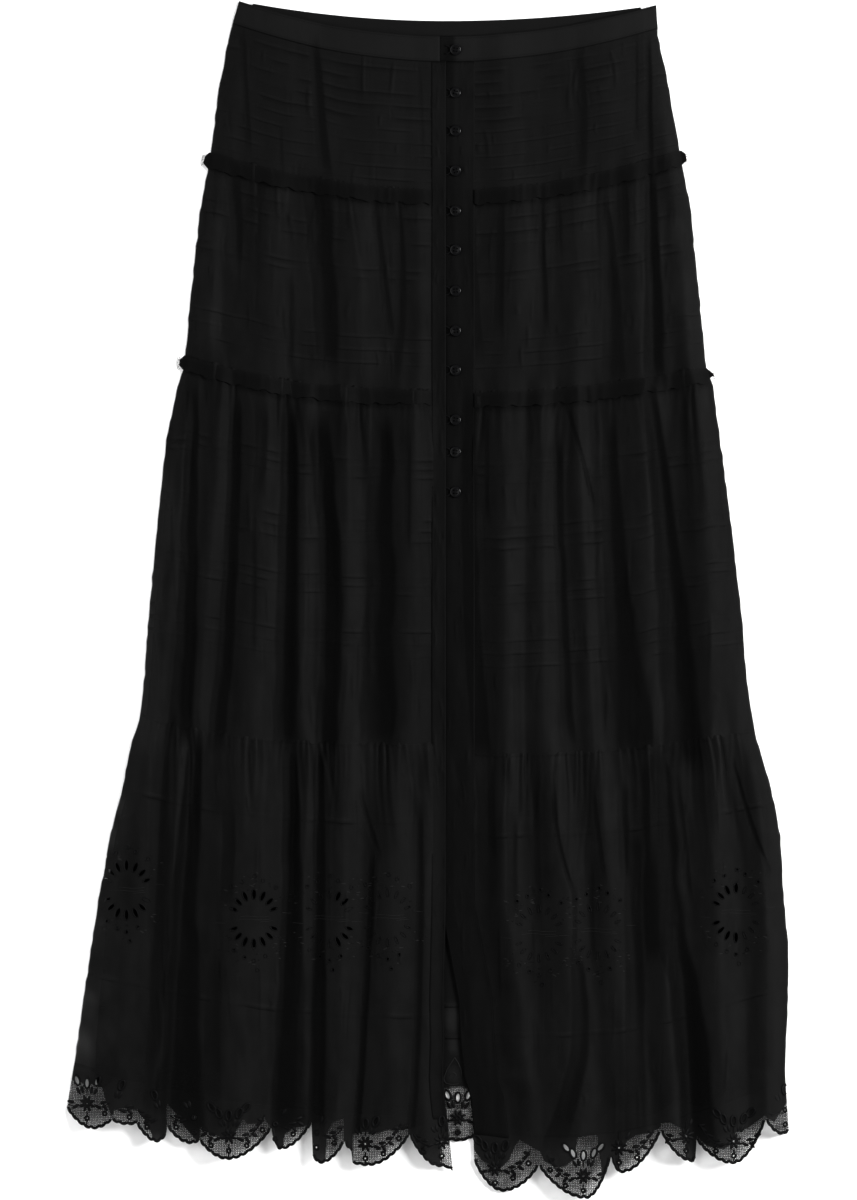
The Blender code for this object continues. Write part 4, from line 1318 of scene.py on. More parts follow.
# Each wrinkle's light part makes its crests lighter and its hollows darker: painted shading.
WRINKLES = (Wrinkle(5.2, 60.0, 7, 0.17, 0.13), Wrinkle(11.5, 90.0, 8, 0.4, 0.12),
            Wrinkle(6.0, 11.0, 9, 0.1, 0.13), Wrinkle(12.0, 30.0, 12, 0.16, 0.09, 3.0))


@dataclass
class Cloth:
    """One piece of cloth of the skirt: a thin sheet over its area, with its own relief."""

    name: str
    half: Half
    area: Area
    node: str
    material: Material
    slot: str = "voile"
    row_pitch: float = 2.4
    column_pitch: float = 1.3
    above: float = 0.0
    tucks: Tucks | None = None
    gathers: tuple[Gathers, ...] = ()
    foot: Gathers | None = None
    ovals: tuple[Oval, ...] = ()
    under: float = 0.0
    roll: float = 0.0
    layers: float = 1.0
    tone: float = 1.0
    top_light: float = 0.0
    valley: tuple[float, float] | None = None
    crumple: float = 0.0
    creases: Creases | None = None
    head_highlight: float = 0.0
    ridge_highlight: float = 0.0
    dense: tuple[float, float] = (0.0, 0.0)
    shadow: Triple | None = None
    held: str = "laid"
    fullness: float = 1.0
    piece: bpy.types.Object | None = field(default=None, init=False)

    BACK_RELIEF = 0.15
    RIDGE_HIGHLIGHT_REACH = 5.0
    HEAD_DEEP = 4.0
    TOP_LIGHT = (90.0, 100.0)
    TURNED_UNDER = 0.9
    ROLLED_UNDER = 0.8
    ROLL_LIGHT = 0.12

    def depth(self) -> float:
        """How deep the piece is near the middle of the garment."""
        at = np.array([-40.0 if self.half is Half.LEFT else 70.0])
        return float((self.area.bottom(at) - self.area.top(at))[0])

    def span(self) -> tuple[float, float]:
        """Its left and right sides, at the drop where widths are measured."""
        at = np.array([MEASURE_DROP])
        return float(self.area.left(at)[0]), float(self.area.right(at)[0])

    def surface(self, x: Array, drop: Array) -> Three:
        """How the cloth lies and looks.

        Args:
            x: Where each point lies across.
            drop: Where it lies down.

        Returns:
            The height, how light the cloth looks and its layers, at each point.
        """
        back = self.half is Half.BACK
        edge = 1.0 if back else DRAPE.rise(self.half, x, drop)
        skin = Skin(x, drop, self.area.top(x), self.area.bottom(x), edge,
                    keep=edge * (self.BACK_RELIEF if back else 1.0),
                    high=DRAPE.high(self.half, x, drop) + self.above,
                    light=self.tone * DRAPE.light(self.half, x, drop),
                    layers=np.maximum(DRAPE.layers(self.half, x, drop), self.layers))
        for work in (self._shade_sides, self._gather, self._crumple, self._shade_seam, self._tuck,
                     self._turn_under):
            work(skin)
        return np.maximum(skin.high, LOWEST), skin.light, skin.layers

    def _shade_sides(self, skin: Skin) -> None:
        """Lightens the top of the garment, and paints shade in the valley beside the piece's left side."""
        start, fade = self.TOP_LIGHT
        skin.light = skin.light + self.top_light * (1.0 - smooth((skin.drop - start) / fade))
        if self.valley is not None:
            wide, dark = self.valley
            inward = skin.x - self.area.left(skin.drop) - 2.0 * ripple(skin.drop, 13.0, 14)
            skin.darken(dark * (1.0 - smooth((inward - wide) / 4.0 + 0.5)))

    def _gather(self, skin: Skin) -> None:
        """Adds the gathers below the upper seam and those above the lower one, with painted shade in their
        dents and a painted highlight on their ridges near the upper seam.
        """
        for gathers in self.gathers:
            ridge, dents = gathers.relief(self.half, skin.x, skin.below, *self.span())
            skin.high = skin.high + skin.keep * ridge
            # Painted highlight on the gathers' ridges just below the seam.
            painted_ridge_highlight = np.clip(ridge / gathers.high, 0.0, 1.0) * np.exp(-(skin.below / self.RIDGE_HIGHLIGHT_REACH) ** 2)
            skin.light = skin.light * (1.0 - dents) * (1.0 + self.ridge_highlight * painted_ridge_highlight)
        if self.foot is not None:
            ridge, dents = self.foot.relief(self.half, skin.x, skin.bottom - skin.drop, *self.span())
            skin.high = skin.high + skin.keep * ridge
            skin.darken(dents)

    def _crumple(self, skin: Skin) -> None:
        """Adds the wrinkles and the single puckers, with their painted shade and highlights."""
        if self.crumple:
            values = [wrinkle.at(skin.x, skin.drop) for wrinkle in WRINKLES]
            high = sum(wrinkle.high * value for wrinkle, value in zip(WRINKLES, values))
            light = sum(wrinkle.light * value for wrinkle, value in zip(WRINKLES, values))
            skin.high = skin.high + skin.keep * self.crumple * high
            skin.light = skin.light * (1.0 + self.crumple * light)
        if self.creases is not None:
            ridge, tone = self.creases.relief(skin.x, skin.below, *self.span(), self.depth())
            skin.high = skin.high + skin.edge * ridge
            skin.light = skin.light * (1.0 + tone)

    def _shade_seam(self, skin: Skin) -> None:
        """Paints a highlight on the head of a ruffle, and paints shadow on the cloth under a ruffle or a
        seam.
        """
        skin.light = skin.light * (1.0 + self.head_highlight * (1.0 - smooth(skin.below / self.HEAD_DEEP)))
        if self.shadow is not None:
            start, wide, amount = self.shadow
            away = np.abs(skin.below - start - 1.2 * ripple(skin.x, 9.0, 6)) / wide
            skin.darken(amount * (0.65 + 0.5 * ripple(skin.x, 21.0, 4)) * (1.0 - smooth(away)))

    def _tuck(self, skin: Skin) -> None:
        """Presses the tucks, with a painted shadow under each and a painted highlight on its folded strip;
        they show less where the cloth is dark.
        """
        if self.tucks is None:
            return
        deep = np.maximum(skin.bottom - skin.top, 1.0)
        share = skin.below / deep
        share = share - self.waver(skin.x, share) / deep
        rise, ply, shadow = self.tucks.relief(share, self.depth())
        seen = np.clip(self.tucks.seen + 2.0 * crinkle(skin.x, skin.drop, 19.0, 12.0, 3), 0.0, 1.3)
        seen = seen * smooth(2.5 * (skin.light / self.tone - 0.35))
        skin.high = skin.high + rise * (0.35 + 0.65 * skin.edge) * np.clip(seen, 0.2, 1.0)
        skin.layers = np.maximum(skin.layers, ply)
        # Painted shadow under each tuck, and a painted highlight on its folded strip.
        skin.light = skin.light * (1.0 - shadow * seen) * (1.0 + 0.17 * (ply > 2.0) * seen)

    def _turn_under(self, skin: Skin) -> None:
        """Lowers the head that lies under the piece above, and rounds the folded edges, with painted shade
        along them.
        """
        if self.under:
            skin.high = skin.high - self.TURNED_UNDER * smooth(-skin.below / self.under)
        if self.roll:
            sides = np.minimum(skin.x - self.area.left(skin.drop), self.area.right(skin.drop) - skin.x)
            ends = np.minimum(skin.below, skin.bottom - skin.drop)
            near = np.clip(np.minimum(sides, ends) / self.roll, 0.0, 1.0)
            skin.high = skin.high - self.ROLLED_UNDER * (1.0 - np.sqrt(1.0 - (1.0 - near) ** 2))
            # Painted shade along the rolled edges.
            skin.light = skin.light * (self.ROLL_LIGHT + (1.0 - self.ROLL_LIGHT) * near * near)

    def waver(self, x: Array, share: Array) -> Array:
        """How far the tucks stray from an even line, which is not at all at the two seams."""
        return 1.5 * ripple(x, 17.0, 13) * np.sin(math.pi * np.clip(share, 0.0, 1.0))

    def bare(self, x: Array, drop: Array) -> Array:
        """How far each point is bare net: nowhere on plain cloth."""
        return np.zeros_like(x)

    def height(self, x: Array, drop: Array) -> Array:
        """The height alone, for what is sewn on the piece."""
        return self.surface(x, drop)[0]

    def shares(self) -> list[float]:
        """The rows of the sheet, as shares of its depth, with those that its tucks need."""
        depth = self.depth()
        rows = list(np.linspace(0.0, 1.0, max(3, int(depth / self.row_pitch))))
        first, last = self.dense
        rows += list(np.arange(first, last, self.row_pitch / depth) + 0.5 * self.row_pitch / depth)
        if self.under:
            rows += [-self.under / depth, -0.5 * self.under / depth]
        if self.tucks is not None:
            sharp = self.tucks.rows(depth)
            rows = [row for row in rows if min(abs(row - s) for s in sharp) > 0.35 * self.row_pitch / depth]
            rows += [row for row in sharp if row < 0.999]
        return sorted(rows)

    def points(self, shares: Sequence[float], columns: int) -> Two:
        """The points of the sheet's grid, as x and drop. Its rows follow the tucks."""
        x, drop = self.area.grid(shares, columns)
        if self.tucks is not None:
            drop = drop + self.waver(x, np.asarray(shares)[:, None] + 0.0 * x)
        return x, drop

    def build(self) -> bpy.types.Object:
        """Builds the sheet and stands it in for its node."""
        shares = self.shares()
        left, right = self.span()
        x, drop = self.points(shares, max(4, int((right - left) / self.column_pitch)))
        kept = None
        if self.ovals:
            x, drop, kept = open_eyelets(x, drop, self.ovals)
        high, light, layers = self.surface(x, drop)
        points = np.column_stack([x.reshape(-1), drop.reshape(-1), high.reshape(-1)])
        marks = {"light": light, "layers": layers, "net": self.bare(x, drop)}
        self.piece = make_mesh(self.name, points, [grid_faces(*x.shape, kept)], self.material, marks)
        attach(self.piece, "root")
        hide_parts(self.node)
        self.declare(x, drop)
        return self.piece

    def declare(self, x: Array, drop: Array) -> None:
        """States the flat size of the cloth that shows."""
        across = np.abs(x[:, -1] - x[:, 0]).max() * self.fullness
        down = (drop[-1] - drop[0]).max()
        cells = np.abs((x[:-1, 1:] - x[:-1, :-1]) * (drop[1:, :-1] - drop[:-1, :-1]))
        area = min(float(cells.sum()) * self.fullness, across * down)
        across * MM
        down * MM
        area * MM * MM
        LOG.info("%s: %.0f x %.0f mm, %d faces", self.name, across, down, len(self.piece.data.polygons))


class Hem:
    """A scalloped hem: its curve, and the scallops that it is made of."""

    def __init__(self, scallops: Sequence[Scallop], pitch: float = 0.8) -> None:
        """Samples the curve of every scallop."""
        self.scallops = scallops
        self.curves = [self.curve(scallop, pitch) for scallop in scallops]
        self.line = np.concatenate(self.curves)

    @staticmethod
    def curve(scallop: Scallop, pitch: float) -> Array:
        """One scallop.

        Args:
            scallop: Its corners and its lowest point.
            pitch: How far its points stand apart across.

        Returns:
            Rows of x and drop, from its left end past its lowest point.
        """
        x = np.linspace(scallop.x0, scallop.x1, max(4, int((scallop.x1 - scallop.x0) / pitch)))
        left = (x - scallop.x0) / (scallop.low_x - scallop.x0)
        right = (scallop.x1 - x) / (scallop.x1 - scallop.low_x)
        first = x <= scallop.low_x
        start = np.where(first, scallop.drop0, scallop.drop1)
        rise = np.sin(0.5 * math.pi * np.clip(np.where(first, left, right), 0.0, 1.0)) ** HEM_ROUND
        path = np.column_stack([x, start + (scallop.low_drop - start) * rise])
        far = np.concatenate([[0.0], np.cumsum(np.hypot(*np.diff(path, axis=0).T))])
        lobes = np.abs(np.sin(math.pi * far / LOBE_PITCH)) ** 0.7
        path[:, 1] += LOBE_DEEP * (lobes - 0.6)
        return path

    def drop(self, x: Array) -> Array:
        """The hem's drop at any x."""
        return np.interp(x, self.line[:, 0], self.line[:, 1])


def back_hem(x: Array) -> Array:
    """The line of the back scallops' lowest points."""
    return np.interp(x, [row[0] for row in BACK_HEM], [row[1] for row in BACK_HEM])


def back_scallops() -> list[Scallop]:
    """The even scallops of the back hem, of which the outline cuts short the first and the last."""
    narrowest, corner = 8.0, 4.0
    left = float(back_x(Half.LEFT, np.array([938.0]))[0])
    right = float(back_x(Half.RIGHT, np.array([944.0]))[0])
    found = []
    for number in range(-6, 6):
        middle = BACK_SCALLOP_X + number * SCALLOP_WIDE
        x0, x1 = max(middle - 0.5 * SCALLOP_WIDE, left), min(middle + 0.5 * SCALLOP_WIDE, right)
        if x1 - x0 < narrowest:
            continue
        low_x = min(max(middle, x0 + corner), x1 - corner)
        drops = back_hem([x0, low_x, x1])
        found.append(Scallop(x0, drops[0] - SCALLOP_DEEP, low_x, drops[1], x1, drops[2] - SCALLOP_DEEP,
                             low_x, drops[1] - 20.0, False))
    return found


@dataclass
class Border(Cloth):
    """The sheer embroidered border of one front or of the back, cut along its scallops."""

    hem: Hem | None = None

    # Around a flower's middle: how far across and down each element lies, and how far it is turned.
    TEARDROPS = ((0.0, -17.5, 0.0), (-9.0, -19.5, 20.0), (9.0, -19.5, -20.0), (-15.0, -24.5, 38.0),
                 (15.0, -24.5, -38.0))
    RINGS = ((0.0, 0.0), (0.0, 12.6), (-15.5, 8.3), (15.5, 8.3), (-28.8, -4.8), (28.8, -4.8))
    LEAVES = ((10.0, 3.0, 62), (14.5, -1.0, 100), (16.0, 3.6, 40), (20.5, -5.0, 110), (22.0, -0.5, 60),
              (26.0, -10.0, 125), (27.5, -13.5, 75), (7.5, -10.5, 150), (4.2, -11.5, 170))
    TEARDROP_SIZE = (3.3, 7.4)
    RING_SIZE = (1.9, 1.9)
    PETAL_OUT = 4.1
    PETAL_SIZE = (3.0, 6.6)
    LEAF_SIZE = (3.2, 7.2)
    STEM_RADIUS = 0.65
    EDGE_RADIUS = 1.5
    EDGE_IN = 1.1
    NET_DEEP = 34.0

    def points(self, shares: Sequence[float], columns: int) -> Two:
        """The grid: its columns run from the seam to the scallops, and lean only at the two ends."""
        hem_x, hem_drop = self.hem.line[:, 0], self.hem.line[:, 1]
        top_drop = self.area.top(hem_x)
        left, right = self.area.left(top_drop[:1])[0], self.area.right(top_drop[-1:])[0]
        top_x = hem_x + (left - hem_x[0]) * np.maximum(0.0, 1.0 - (hem_x - hem_x[0]) / HEM_LEAN)
        top_x = top_x + (right - hem_x[-1]) * np.maximum(0.0, 1.0 - (hem_x[-1] - hem_x) / HEM_LEAN)
        share = np.asarray(shares)[:, None]
        x = top_x + (hem_x - top_x) * share
        high = self.area.top(top_x)
        return x, high + (hem_drop - high) * share

    def holes(self, backed: bool) -> list[Oval]:
        """The eyelets that have cloth behind them, or those that are open.

        Args:
            backed: Which of the two.

        Returns:
            The teardrops of the scallops that are backed or are not. The rings are always open.
        """
        found = []
        for s in self.hem.scallops:
            drops = self.TEARDROPS if s.backed is backed else ()
            rings = () if backed else self.RINGS
            for wide, tall, spots in (*self.TEARDROP_SIZE, drops), (*self.RING_SIZE, rings):
                for dx, dd, *turn in spots:
                    if self.fits(s, s.flower_x + dx, s.flower_drop + dd, 3.0):
                        found.append(Oval(s.flower_x + dx, s.flower_drop + dd, wide, tall, sum(turn)))
        return found

    def fits(self, scallop: Scallop, x: float, drop: float, room: float) -> bool:
        """Whether a small element at a point lies inside its scallop and below the seam."""
        if not scallop.x0 + room < x < scallop.x1 - room:
            return False
        spot = np.array([x])
        return bool(drop + room < self.hem.drop(spot)[0] + 0.6 and drop - 4.0 > self.area.top(spot)[0])

    def surface(self, x: Array, drop: Array) -> Three:
        """The height, tone and layers. The cloth lies double above the bare net, and the eyelets with cloth
        behind them, which are not cut, are painted dark as painted shade.
        """
        high, light, layers = super().surface(x, drop)
        # Painted shade in the eyelets that are not cut.
        for oval in self.holes(True):
            off = np.hypot((x - oval.x) / 1.7, (drop - oval.drop) / 3.6)
            light = light * (1.0 - 0.85 * (off < 1.0))
        return high, light, np.maximum(layers, 2.0)

    def bare(self, x: Array, drop: Array) -> Array:
        """1 where the border is bare net, and 0 where it is cloth."""
        if self.half is Half.BACK:
            off = ((x - BACK_SCALLOP_X) / SCALLOP_WIDE + 0.5) % 1.0 - 0.5
            arch = np.sqrt(np.clip(1.0 - (2.1 * off) ** 2, 0.0, 1.0))
            edge = back_hem(x) - SCALLOP_DEEP - self.NET_DEEP * arch
        else:
            tops = NET_TOPS[self.half]
            edge = np.interp(x, [top[0] for top in tops], [top[1] for top in tops])
        return smooth((drop - edge) / 0.8 + 0.5)

    def embroider(self, name: str, thread: Material) -> bpy.types.Object:
        """Works the corded edge, the flowers, stems, leaf sprays and the rims of the holes."""
        work = Work(self.height)
        for curve in self.hem.curves:
            along = np.gradient(curve, axis=0)
            along /= np.hypot(along[:, 0], along[:, 1])[:, None]
            inward = np.column_stack([along[:, 1], -along[:, 0]])
            work.cord(curve + self.EDGE_IN * inward, self.EDGE_RADIUS, flat=0.4, lift=0.15)
        for oval in self.holes(False) + self.holes(True):
            work.rim(oval, 1.5)
        for s in self.hem.scallops:
            self.flower(work, s)
            self.sprays(work, s)
        return work.build(name, thread, "sheer_border", self.inside)

    def inside(self, spots: Array) -> Array:
        """Whether points lie between the border's two sides."""
        return ((spots[:, 0] > self.area.left(spots[:, 1]) - 0.8)
                & (spots[:, 0] < self.area.right(spots[:, 1]) + 0.8))

    def flower(self, work: Work, s: Scallop) -> None:
        """Works one scallop's flower, where it has room, with the pieces of stem in line with it."""
        x, drop = s.flower_x, s.flower_drop
        if not self.fits(s, x, drop, 5.0):
            return
        for number in range(8):
            turn = 45.0 * number + 22.5
            dx, dd = turned(0.0, self.PETAL_OUT, turn)
            work.leaf(x + dx, drop + dd, *self.PETAL_SIZE, turn, 0.7)
        low = float(self.hem.drop(np.array([x]))[0]) - 1.0
        ends = (drop + 7.0, min(drop + 10.6, low)), (drop + 15.0, low), (drop - 13.5, drop - 7.0)
        for start, end in ends:
            if end > start + 1.0:
                stem = np.column_stack([np.full(5, x), np.linspace(start, end, 5)])
                work.cord(stem, self.STEM_RADIUS, lift=0.2)

    def sprays(self, work: Work, s: Scallop) -> None:
        """Works the two leaf sprays beside a flower, as far as its scallop reaches."""
        x, drop = s.flower_x, s.flower_drop
        bend = np.linspace(0.0, 1.0, 18)
        for way in (-1, 1):
            down = 3.0 * np.sin(3.0 * bend) - 20.0 * bend ** 2 + 2.0
            spray = np.column_stack([x + way * (6.0 + 25.0 * bend), drop + down])
            inside = np.array([self.fits(s, px, pd, 1.5) for px, pd in spray])
            if inside.sum() > 4:
                work.cord(spray[inside], self.STEM_RADIUS, lift=0.2)
            for dx, dd, turn in self.LEAVES:
                if self.fits(s, x + way * dx, drop + dd, 3.0):
                    work.leaf(x + way * dx, drop + dd, *self.LEAF_SIZE, way * turn, 0.6)


# The front's four tiers, from the top: tucks, gathers below and above the seams, and their looks.
TIER_TUCKS = (
    Tucks(((0.06, 0.155, 0.25, 0.345, 0.44, 0.535, 0.63, 0.725, 0.82, 0.915),), 2.4, 0.4, 0.3, 0.55),
    Tucks(((0.13, 0.20, 0.26), (0.395, 0.435), (0.73, 0.795, 0.86)), 2.6, 0.35, 0.3, 0.4),
    Tucks(((0.19, 0.215, 0.24), (0.36, 0.39, 0.42), (0.52, 0.545, 0.57), (0.675, 0.71, 0.745)),
          2.8, 0.3, 0.3, 0.3),
    Tucks(((0.20,), (0.725,)), 3.6, 0.3, 0.35, 0.1),
)
BACK_LOW_TUCKS = Tucks(((0.20,), (0.757, 0.85)), 3.6, 0.3, 0.9, 1.0)
TIER_GATHERS = (
    (),
    (Gathers(11, 6.0, 1.1, 1.6, 12.0, 80.0, shade=0.65),
     Gathers(12, 17.0, 0.9, 3.6, 40.0, 110.0, shade=0.2)),
    (Gathers(21, 6.5, 1.4, 1.7, 18.0, 115.0, shade=0.8),
     Gathers(22, 20.0, 1.2, 3.6, 60.0, 200.0, shade=0.3)),
    (Gathers(31, 6.0, 1.8, 1.5, 18.0, 130.0, 0.1, 0.85),
     Gathers(32, 21.0, 1.4, 4.0, 70.0, 230.0, 0.1, 0.35)),
)
TIER_FEET = (None, Gathers(15, 14.0, 0.5, 3.0, 10.0, 40.0, shade=0.16),
             Gathers(25, 11.0, 0.6, 2.6, 10.0, 60.0, shade=0.22), None)
CRUMPLES = (0.6, 1.0, 1.1, 1.1)
TRIM_SHADOWS = (None, (13.4, 4.2, 1.1), (13.4, 5.0, 1.1), (0.6, 2.0, 0.7))
TIER_TONES = (0.95, 0.9, 0.86, 0.93)
CREASE_COUNTS = (40, 90, 80, 70)
FULLNESS = (1.0, 1.06, 1.08, 1.1)
# How deep the ruffles are, and how far the front's stand out past its side.
BACK_TRIM_DEEP = 11.0
TRIM_DEEP = 12.0
TRIM_PAST = 4.5


def petals(medallion: Medallion) -> list[Oval]:
    """The eyelets of a medallion, which radiate from its middle."""
    found = []
    for turn, wide, tall in PETALS:
        for way, end in ((1, -1), (1, 1), (-1, -1), (-1, 1)):
            if turn == 0 and way < 0:
                continue
            side, out = way * math.sin(math.radians(turn)), end * math.cos(math.radians(turn))
            gapes = medallion.from_side < side < medallion.to_side
            size = (wide, tall) if gapes else (0.5 * wide, 0.75 * tall)
            found.append(Oval(medallion.x + MEDALLION_REACH[0] * side,
                              medallion.drop + MEDALLION_REACH[1] * out, *size, way * end * turn))
    return found


def medallion_dots(medallion: Medallion) -> list[Oval]:
    """The small round eyelets above and below a medallion."""
    return [Oval(medallion.x + dx, medallion.drop + dd, 2.3, 2.6, 0) for dx, dd in DOTS]


@dataclass
class Skirt:
    """The whole skirt: it builds the pieces in the order in which a maker would sew them.

    Each method that takes a half builds the pieces of that front, or of the back.
    """

    finishes: Finishes = field(default_factory=Finishes)
    cloths: dict[str, Cloth] = field(default_factory=dict)
    under: float = 2.5
    leaf_tries: int = 70

    # The lines of pale thread across a medallion, a painted highlight: how far down each lies, and its two
    # ends.
    PALE_LINES = ((-2.0, -11.0, 14.0), (0.6, -14.0, 16.0), (2.2, 6.0, 17.0), (-5.0, 24.0, 32.0),
                  (4.0, -33.0, -24.0))
    FRAY_LEVELS = (-4.0, -2.0, 0.0, 2.5, 4.5)

    def add(self, cloth: Cloth) -> Cloth:
        """Builds a piece of cloth and keeps it by its name."""
        cloth.build()
        self.cloths[cloth.name] = cloth
        return cloth

    def backs(self) -> None:
        """The back: band, four tiers and two trims, flat on the surface."""
        lines = (BACK_WAIST, HIP, THIGH, BACK_KNEE, BACK_NET)
        self.add(Cloth(
            "back_waistband", Half.BACK, back_area(BACK_TOP, BACK_WAIST), "waistband_back",
            self.finishes.band, "band_cotton", 1.2, 2.4, layers=3, above=0.35))
        for number, (top, bottom) in enumerate(zip(lines, lines[1:])):
            self.add(Cloth(
                f"back_tier_{number + 1}", Half.BACK, back_area(top, bottom),
                f"tier_{number + 1}_back", self.finishes.voile, row_pitch=6.0, column_pitch=3.2,
                tucks=BACK_LOW_TUCKS if number == 3 else TIER_TUCKS[number],
                gathers=TIER_GATHERS[number]))
        for number, seam in ((1, HIP), (2, THIGH)):
            self.add(Cloth(
                f"back_trim_{number}", Half.BACK, back_area(seam, seam.lowered(BACK_TRIM_DEEP)),
                f"trim_{number}_back", self.finishes.voile, row_pitch=1.4, column_pitch=1.6,
                above=0.5, layers=2, gathers=(Gathers(50 + number, 5.0, 1.6, 1.6, 30.0, 60.0),)))

    def tiers(self, half: Half) -> None:
        """The four tiers of one front, gathered into each other and tucked across."""
        for number, (top, bottom) in enumerate(zip(FRONT_SEAMS, FRONT_SEAMS[1:])):
            lowest = number == 3
            ovals: list[Oval] = []
            for medallion in MEDALLIONS[half] if lowest else ():
                ovals += petals(medallion) + medallion_dots(medallion)
            area = front_area(half, side_line(half), lambda d: strip_seam(half, d) - half.way * STRIP_LAP,
                              seam_line(top, half), seam_line(bottom, half))
            self.add(Cloth(
                f"front_{half.value}_tier_{number + 1}", half, area,
                f"tier_{number + 1}_front_{half.value}", self.finishes.voile,
                row_pitch=2.2 if lowest else 2.6, column_pitch=1.0 if lowest else 1.3,
                dense=(0.22, 0.68) if lowest else (0.0, 0.0), tucks=TIER_TUCKS[number],
                gathers=TIER_GATHERS[number], foot=TIER_FEET[number], ovals=tuple(ovals),
                under=self.under, crumple=CRUMPLES[number], shadow=TRIM_SHADOWS[number],
                ridge_highlight=0.55 if lowest else 0.2, tone=TIER_TONES[number],
                creases=Creases(40 + number + 5 * len(half.value), CREASE_COUNTS[number],
                                longest=50.0 if number < 2 else 90.0),
                held="gathered" if number else "laid", fullness=FULLNESS[number]))

    def trim_area(self, half: Half, seam: Seam) -> Area:
        """The area of a narrow ruffle, which tapers where it stands out past the front's side."""
        side = abs(float(side_x(half, np.array([seam.left_edge + TRIM_DEEP / 2]))[0]))
        top, low = seam_line(seam, half, -0.6), seam_line(seam.lowered(TRIM_DEEP), half)

        def past(x: Array) -> Array:
            """How far a point lies past the front's side."""
            return np.clip(np.abs(x) - side, 0.0, 6.0)

        return front_area(half, side_line(half, TRIM_PAST), lambda d: strip_seam(half, d) - half.way * 0.5,
                          lambda x: top(x) + 0.9 * past(x),
                          lambda x: low(x) + 0.7 * np.sin(x / 3.1) + 0.5 * np.sin(x / 1.7) - 0.7 * past(x))

    def trims(self, half: Half) -> None:
        """The two narrow ruffles that hide the upper seams of one front."""
        for number, seam in ((1, HIP), (2, THIGH)):
            self.add(Cloth(
                f"front_{half.value}_trim_{number}", half, self.trim_area(half, seam),
                f"trim_{number}_front_{half.value}", self.finishes.voile, row_pitch=1.0,
                column_pitch=0.9, above=1.9, layers=4, held="gathered", fullness=1.1,
                tone=0.29, crumple=0.35, head_highlight=0.7,
                gathers=(Gathers(60 + number, 8.5, 0.5, 2.6, 40.0, 80.0, 0.0, 0.08),)))

    def frays(self, half: Half) -> None:
        """The curled threads that stand out at the outer ends of the two trims of one front."""
        work = Work(self.cloths[f"front_{half.value}_trim_1"].height)
        rng = np.random.default_rng(SEED + 70 + half.way)
        for seam in (HIP, THIGH):
            drop = (seam.left_edge if half is Half.LEFT else seam.right_edge) + TRIM_DEEP / 2
            side = float(side_x(half, np.array([drop]))[0]) + half.way * 4.0
            for level in self.FRAY_LEVELS:
                turn = np.linspace(rng.uniform(0.0, 3.0), rng.uniform(4.0, 7.0), 12)
                curl = rng.uniform(0.7, 1.5)
                work.cord(np.column_stack([side + curl * np.cos(turn) + half.way * rng.uniform(0.0, 1.6),
                                           drop + level + curl * np.sin(turn)]), 0.22, sides=4)
        work.build(f"front_{half.value}_trim_frays", self.finishes.thread, "voile")

    def strips(self, half: Half) -> None:
        """One button strip, of folded cloth, from the waistband down to the border."""
        area = front_area(half, lambda d: strip_seam(half, d), lambda d: strip_free(half, d),
                          seam_line(WAIST, half), seam_line(NET, half, 3.0))
        self.add(Cloth(
            f"front_{half.value}_button_strip", half, area, f"button_strip_{half.value}",
            self.finishes.voile, row_pitch=2.4, column_pitch=0.7, above=0.75, layers=3, roll=1.2,
            tone=0.42 if half is Half.LEFT else 0.38, top_light=0.35,
            valley=None if half is Half.LEFT else (12.0, 0.4), crumple=1.2,
            creases=Creases(46 + len(half.value), 90, 6.0, 30.0, 0.7, 0.4, 0.6)))

    def borders(self, half: Half) -> None:
        """The sheer scalloped border of one half."""
        if half is Half.BACK:
            hem = Hem(back_scallops(), 1.3)
            area = replace(back_area(BACK_NET, BACK_NET), bottom=hem.drop)
            node = "border_back"
        else:
            hem = Hem(LEFT_HEM if half is Half.LEFT else RIGHT_HEM)
            area = front_area(half, side_line(half), lambda d: strip_free(half, d), seam_line(NET, half),
                              hem.drop)
            node = f"border_front_{half.value}"
        border = Border(f"{half.value}_border", half, area, node, self.finishes.net, "sheer_border",
                        row_pitch=1.6 if half is Half.BACK else 0.8, under=self.under, hem=hem, crumple=1.0)
        border.ovals = tuple(border.holes(False))
        self.add(border)
        border.embroider(f"{half.value}_border_embroidery", self.finishes.thread)

    def medallions(self, half: Half) -> None:
        """The raised rims, leaves and lines of thread of one front's medallions; some leaves and the lines
        are in pale thread, as a painted highlight.
        """
        cloth = self.cloths[f"front_{half.value}_tier_4"]
        rims, pale_thread = Work(cloth.height), Work(cloth.height)
        rng = np.random.default_rng(SEED + 90)
        for medallion in MEDALLIONS[half]:
            x, drop = medallion.x, medallion.drop
            for oval in petals(medallion) + medallion_dots(medallion):
                rims.rim(oval, 0.6)
            for _ in range(self.leaf_tries):
                turn, out = rng.uniform(0.0, 2 * math.pi), rng.uniform(1.15, 2.0)
                spot = x + 20.0 * out * math.sin(turn), drop + 21.0 * out * math.cos(turn)
                if abs(math.cos(turn)) < 0.35:
                    continue
                # Two in five leaves take the pale thread: a painted highlight.
                (pale_thread if rng.random() < 0.4 else rims).leaf(*spot, 1.0, rng.uniform(1.8, 4.6),
                                                             rng.uniform(60, 120), 0.25)
            for level, first, last in self.PALE_LINES:
                across = np.linspace(first, last, 14) + rng.uniform(-2.0, 2.0)
                path = np.column_stack([x + across, drop + level + 0.4 * np.sin(across / 4.0)])
                pale_thread.cord(path, 0.3, flat=0.7, lift=0.1, sides=4)

        def inside(spots: Array) -> Array:
            """Whether points lie well inside the front's outer side."""
            return half.way * (side_x(half, spots[:, 1]) - spots[:, 0]) > 2.0

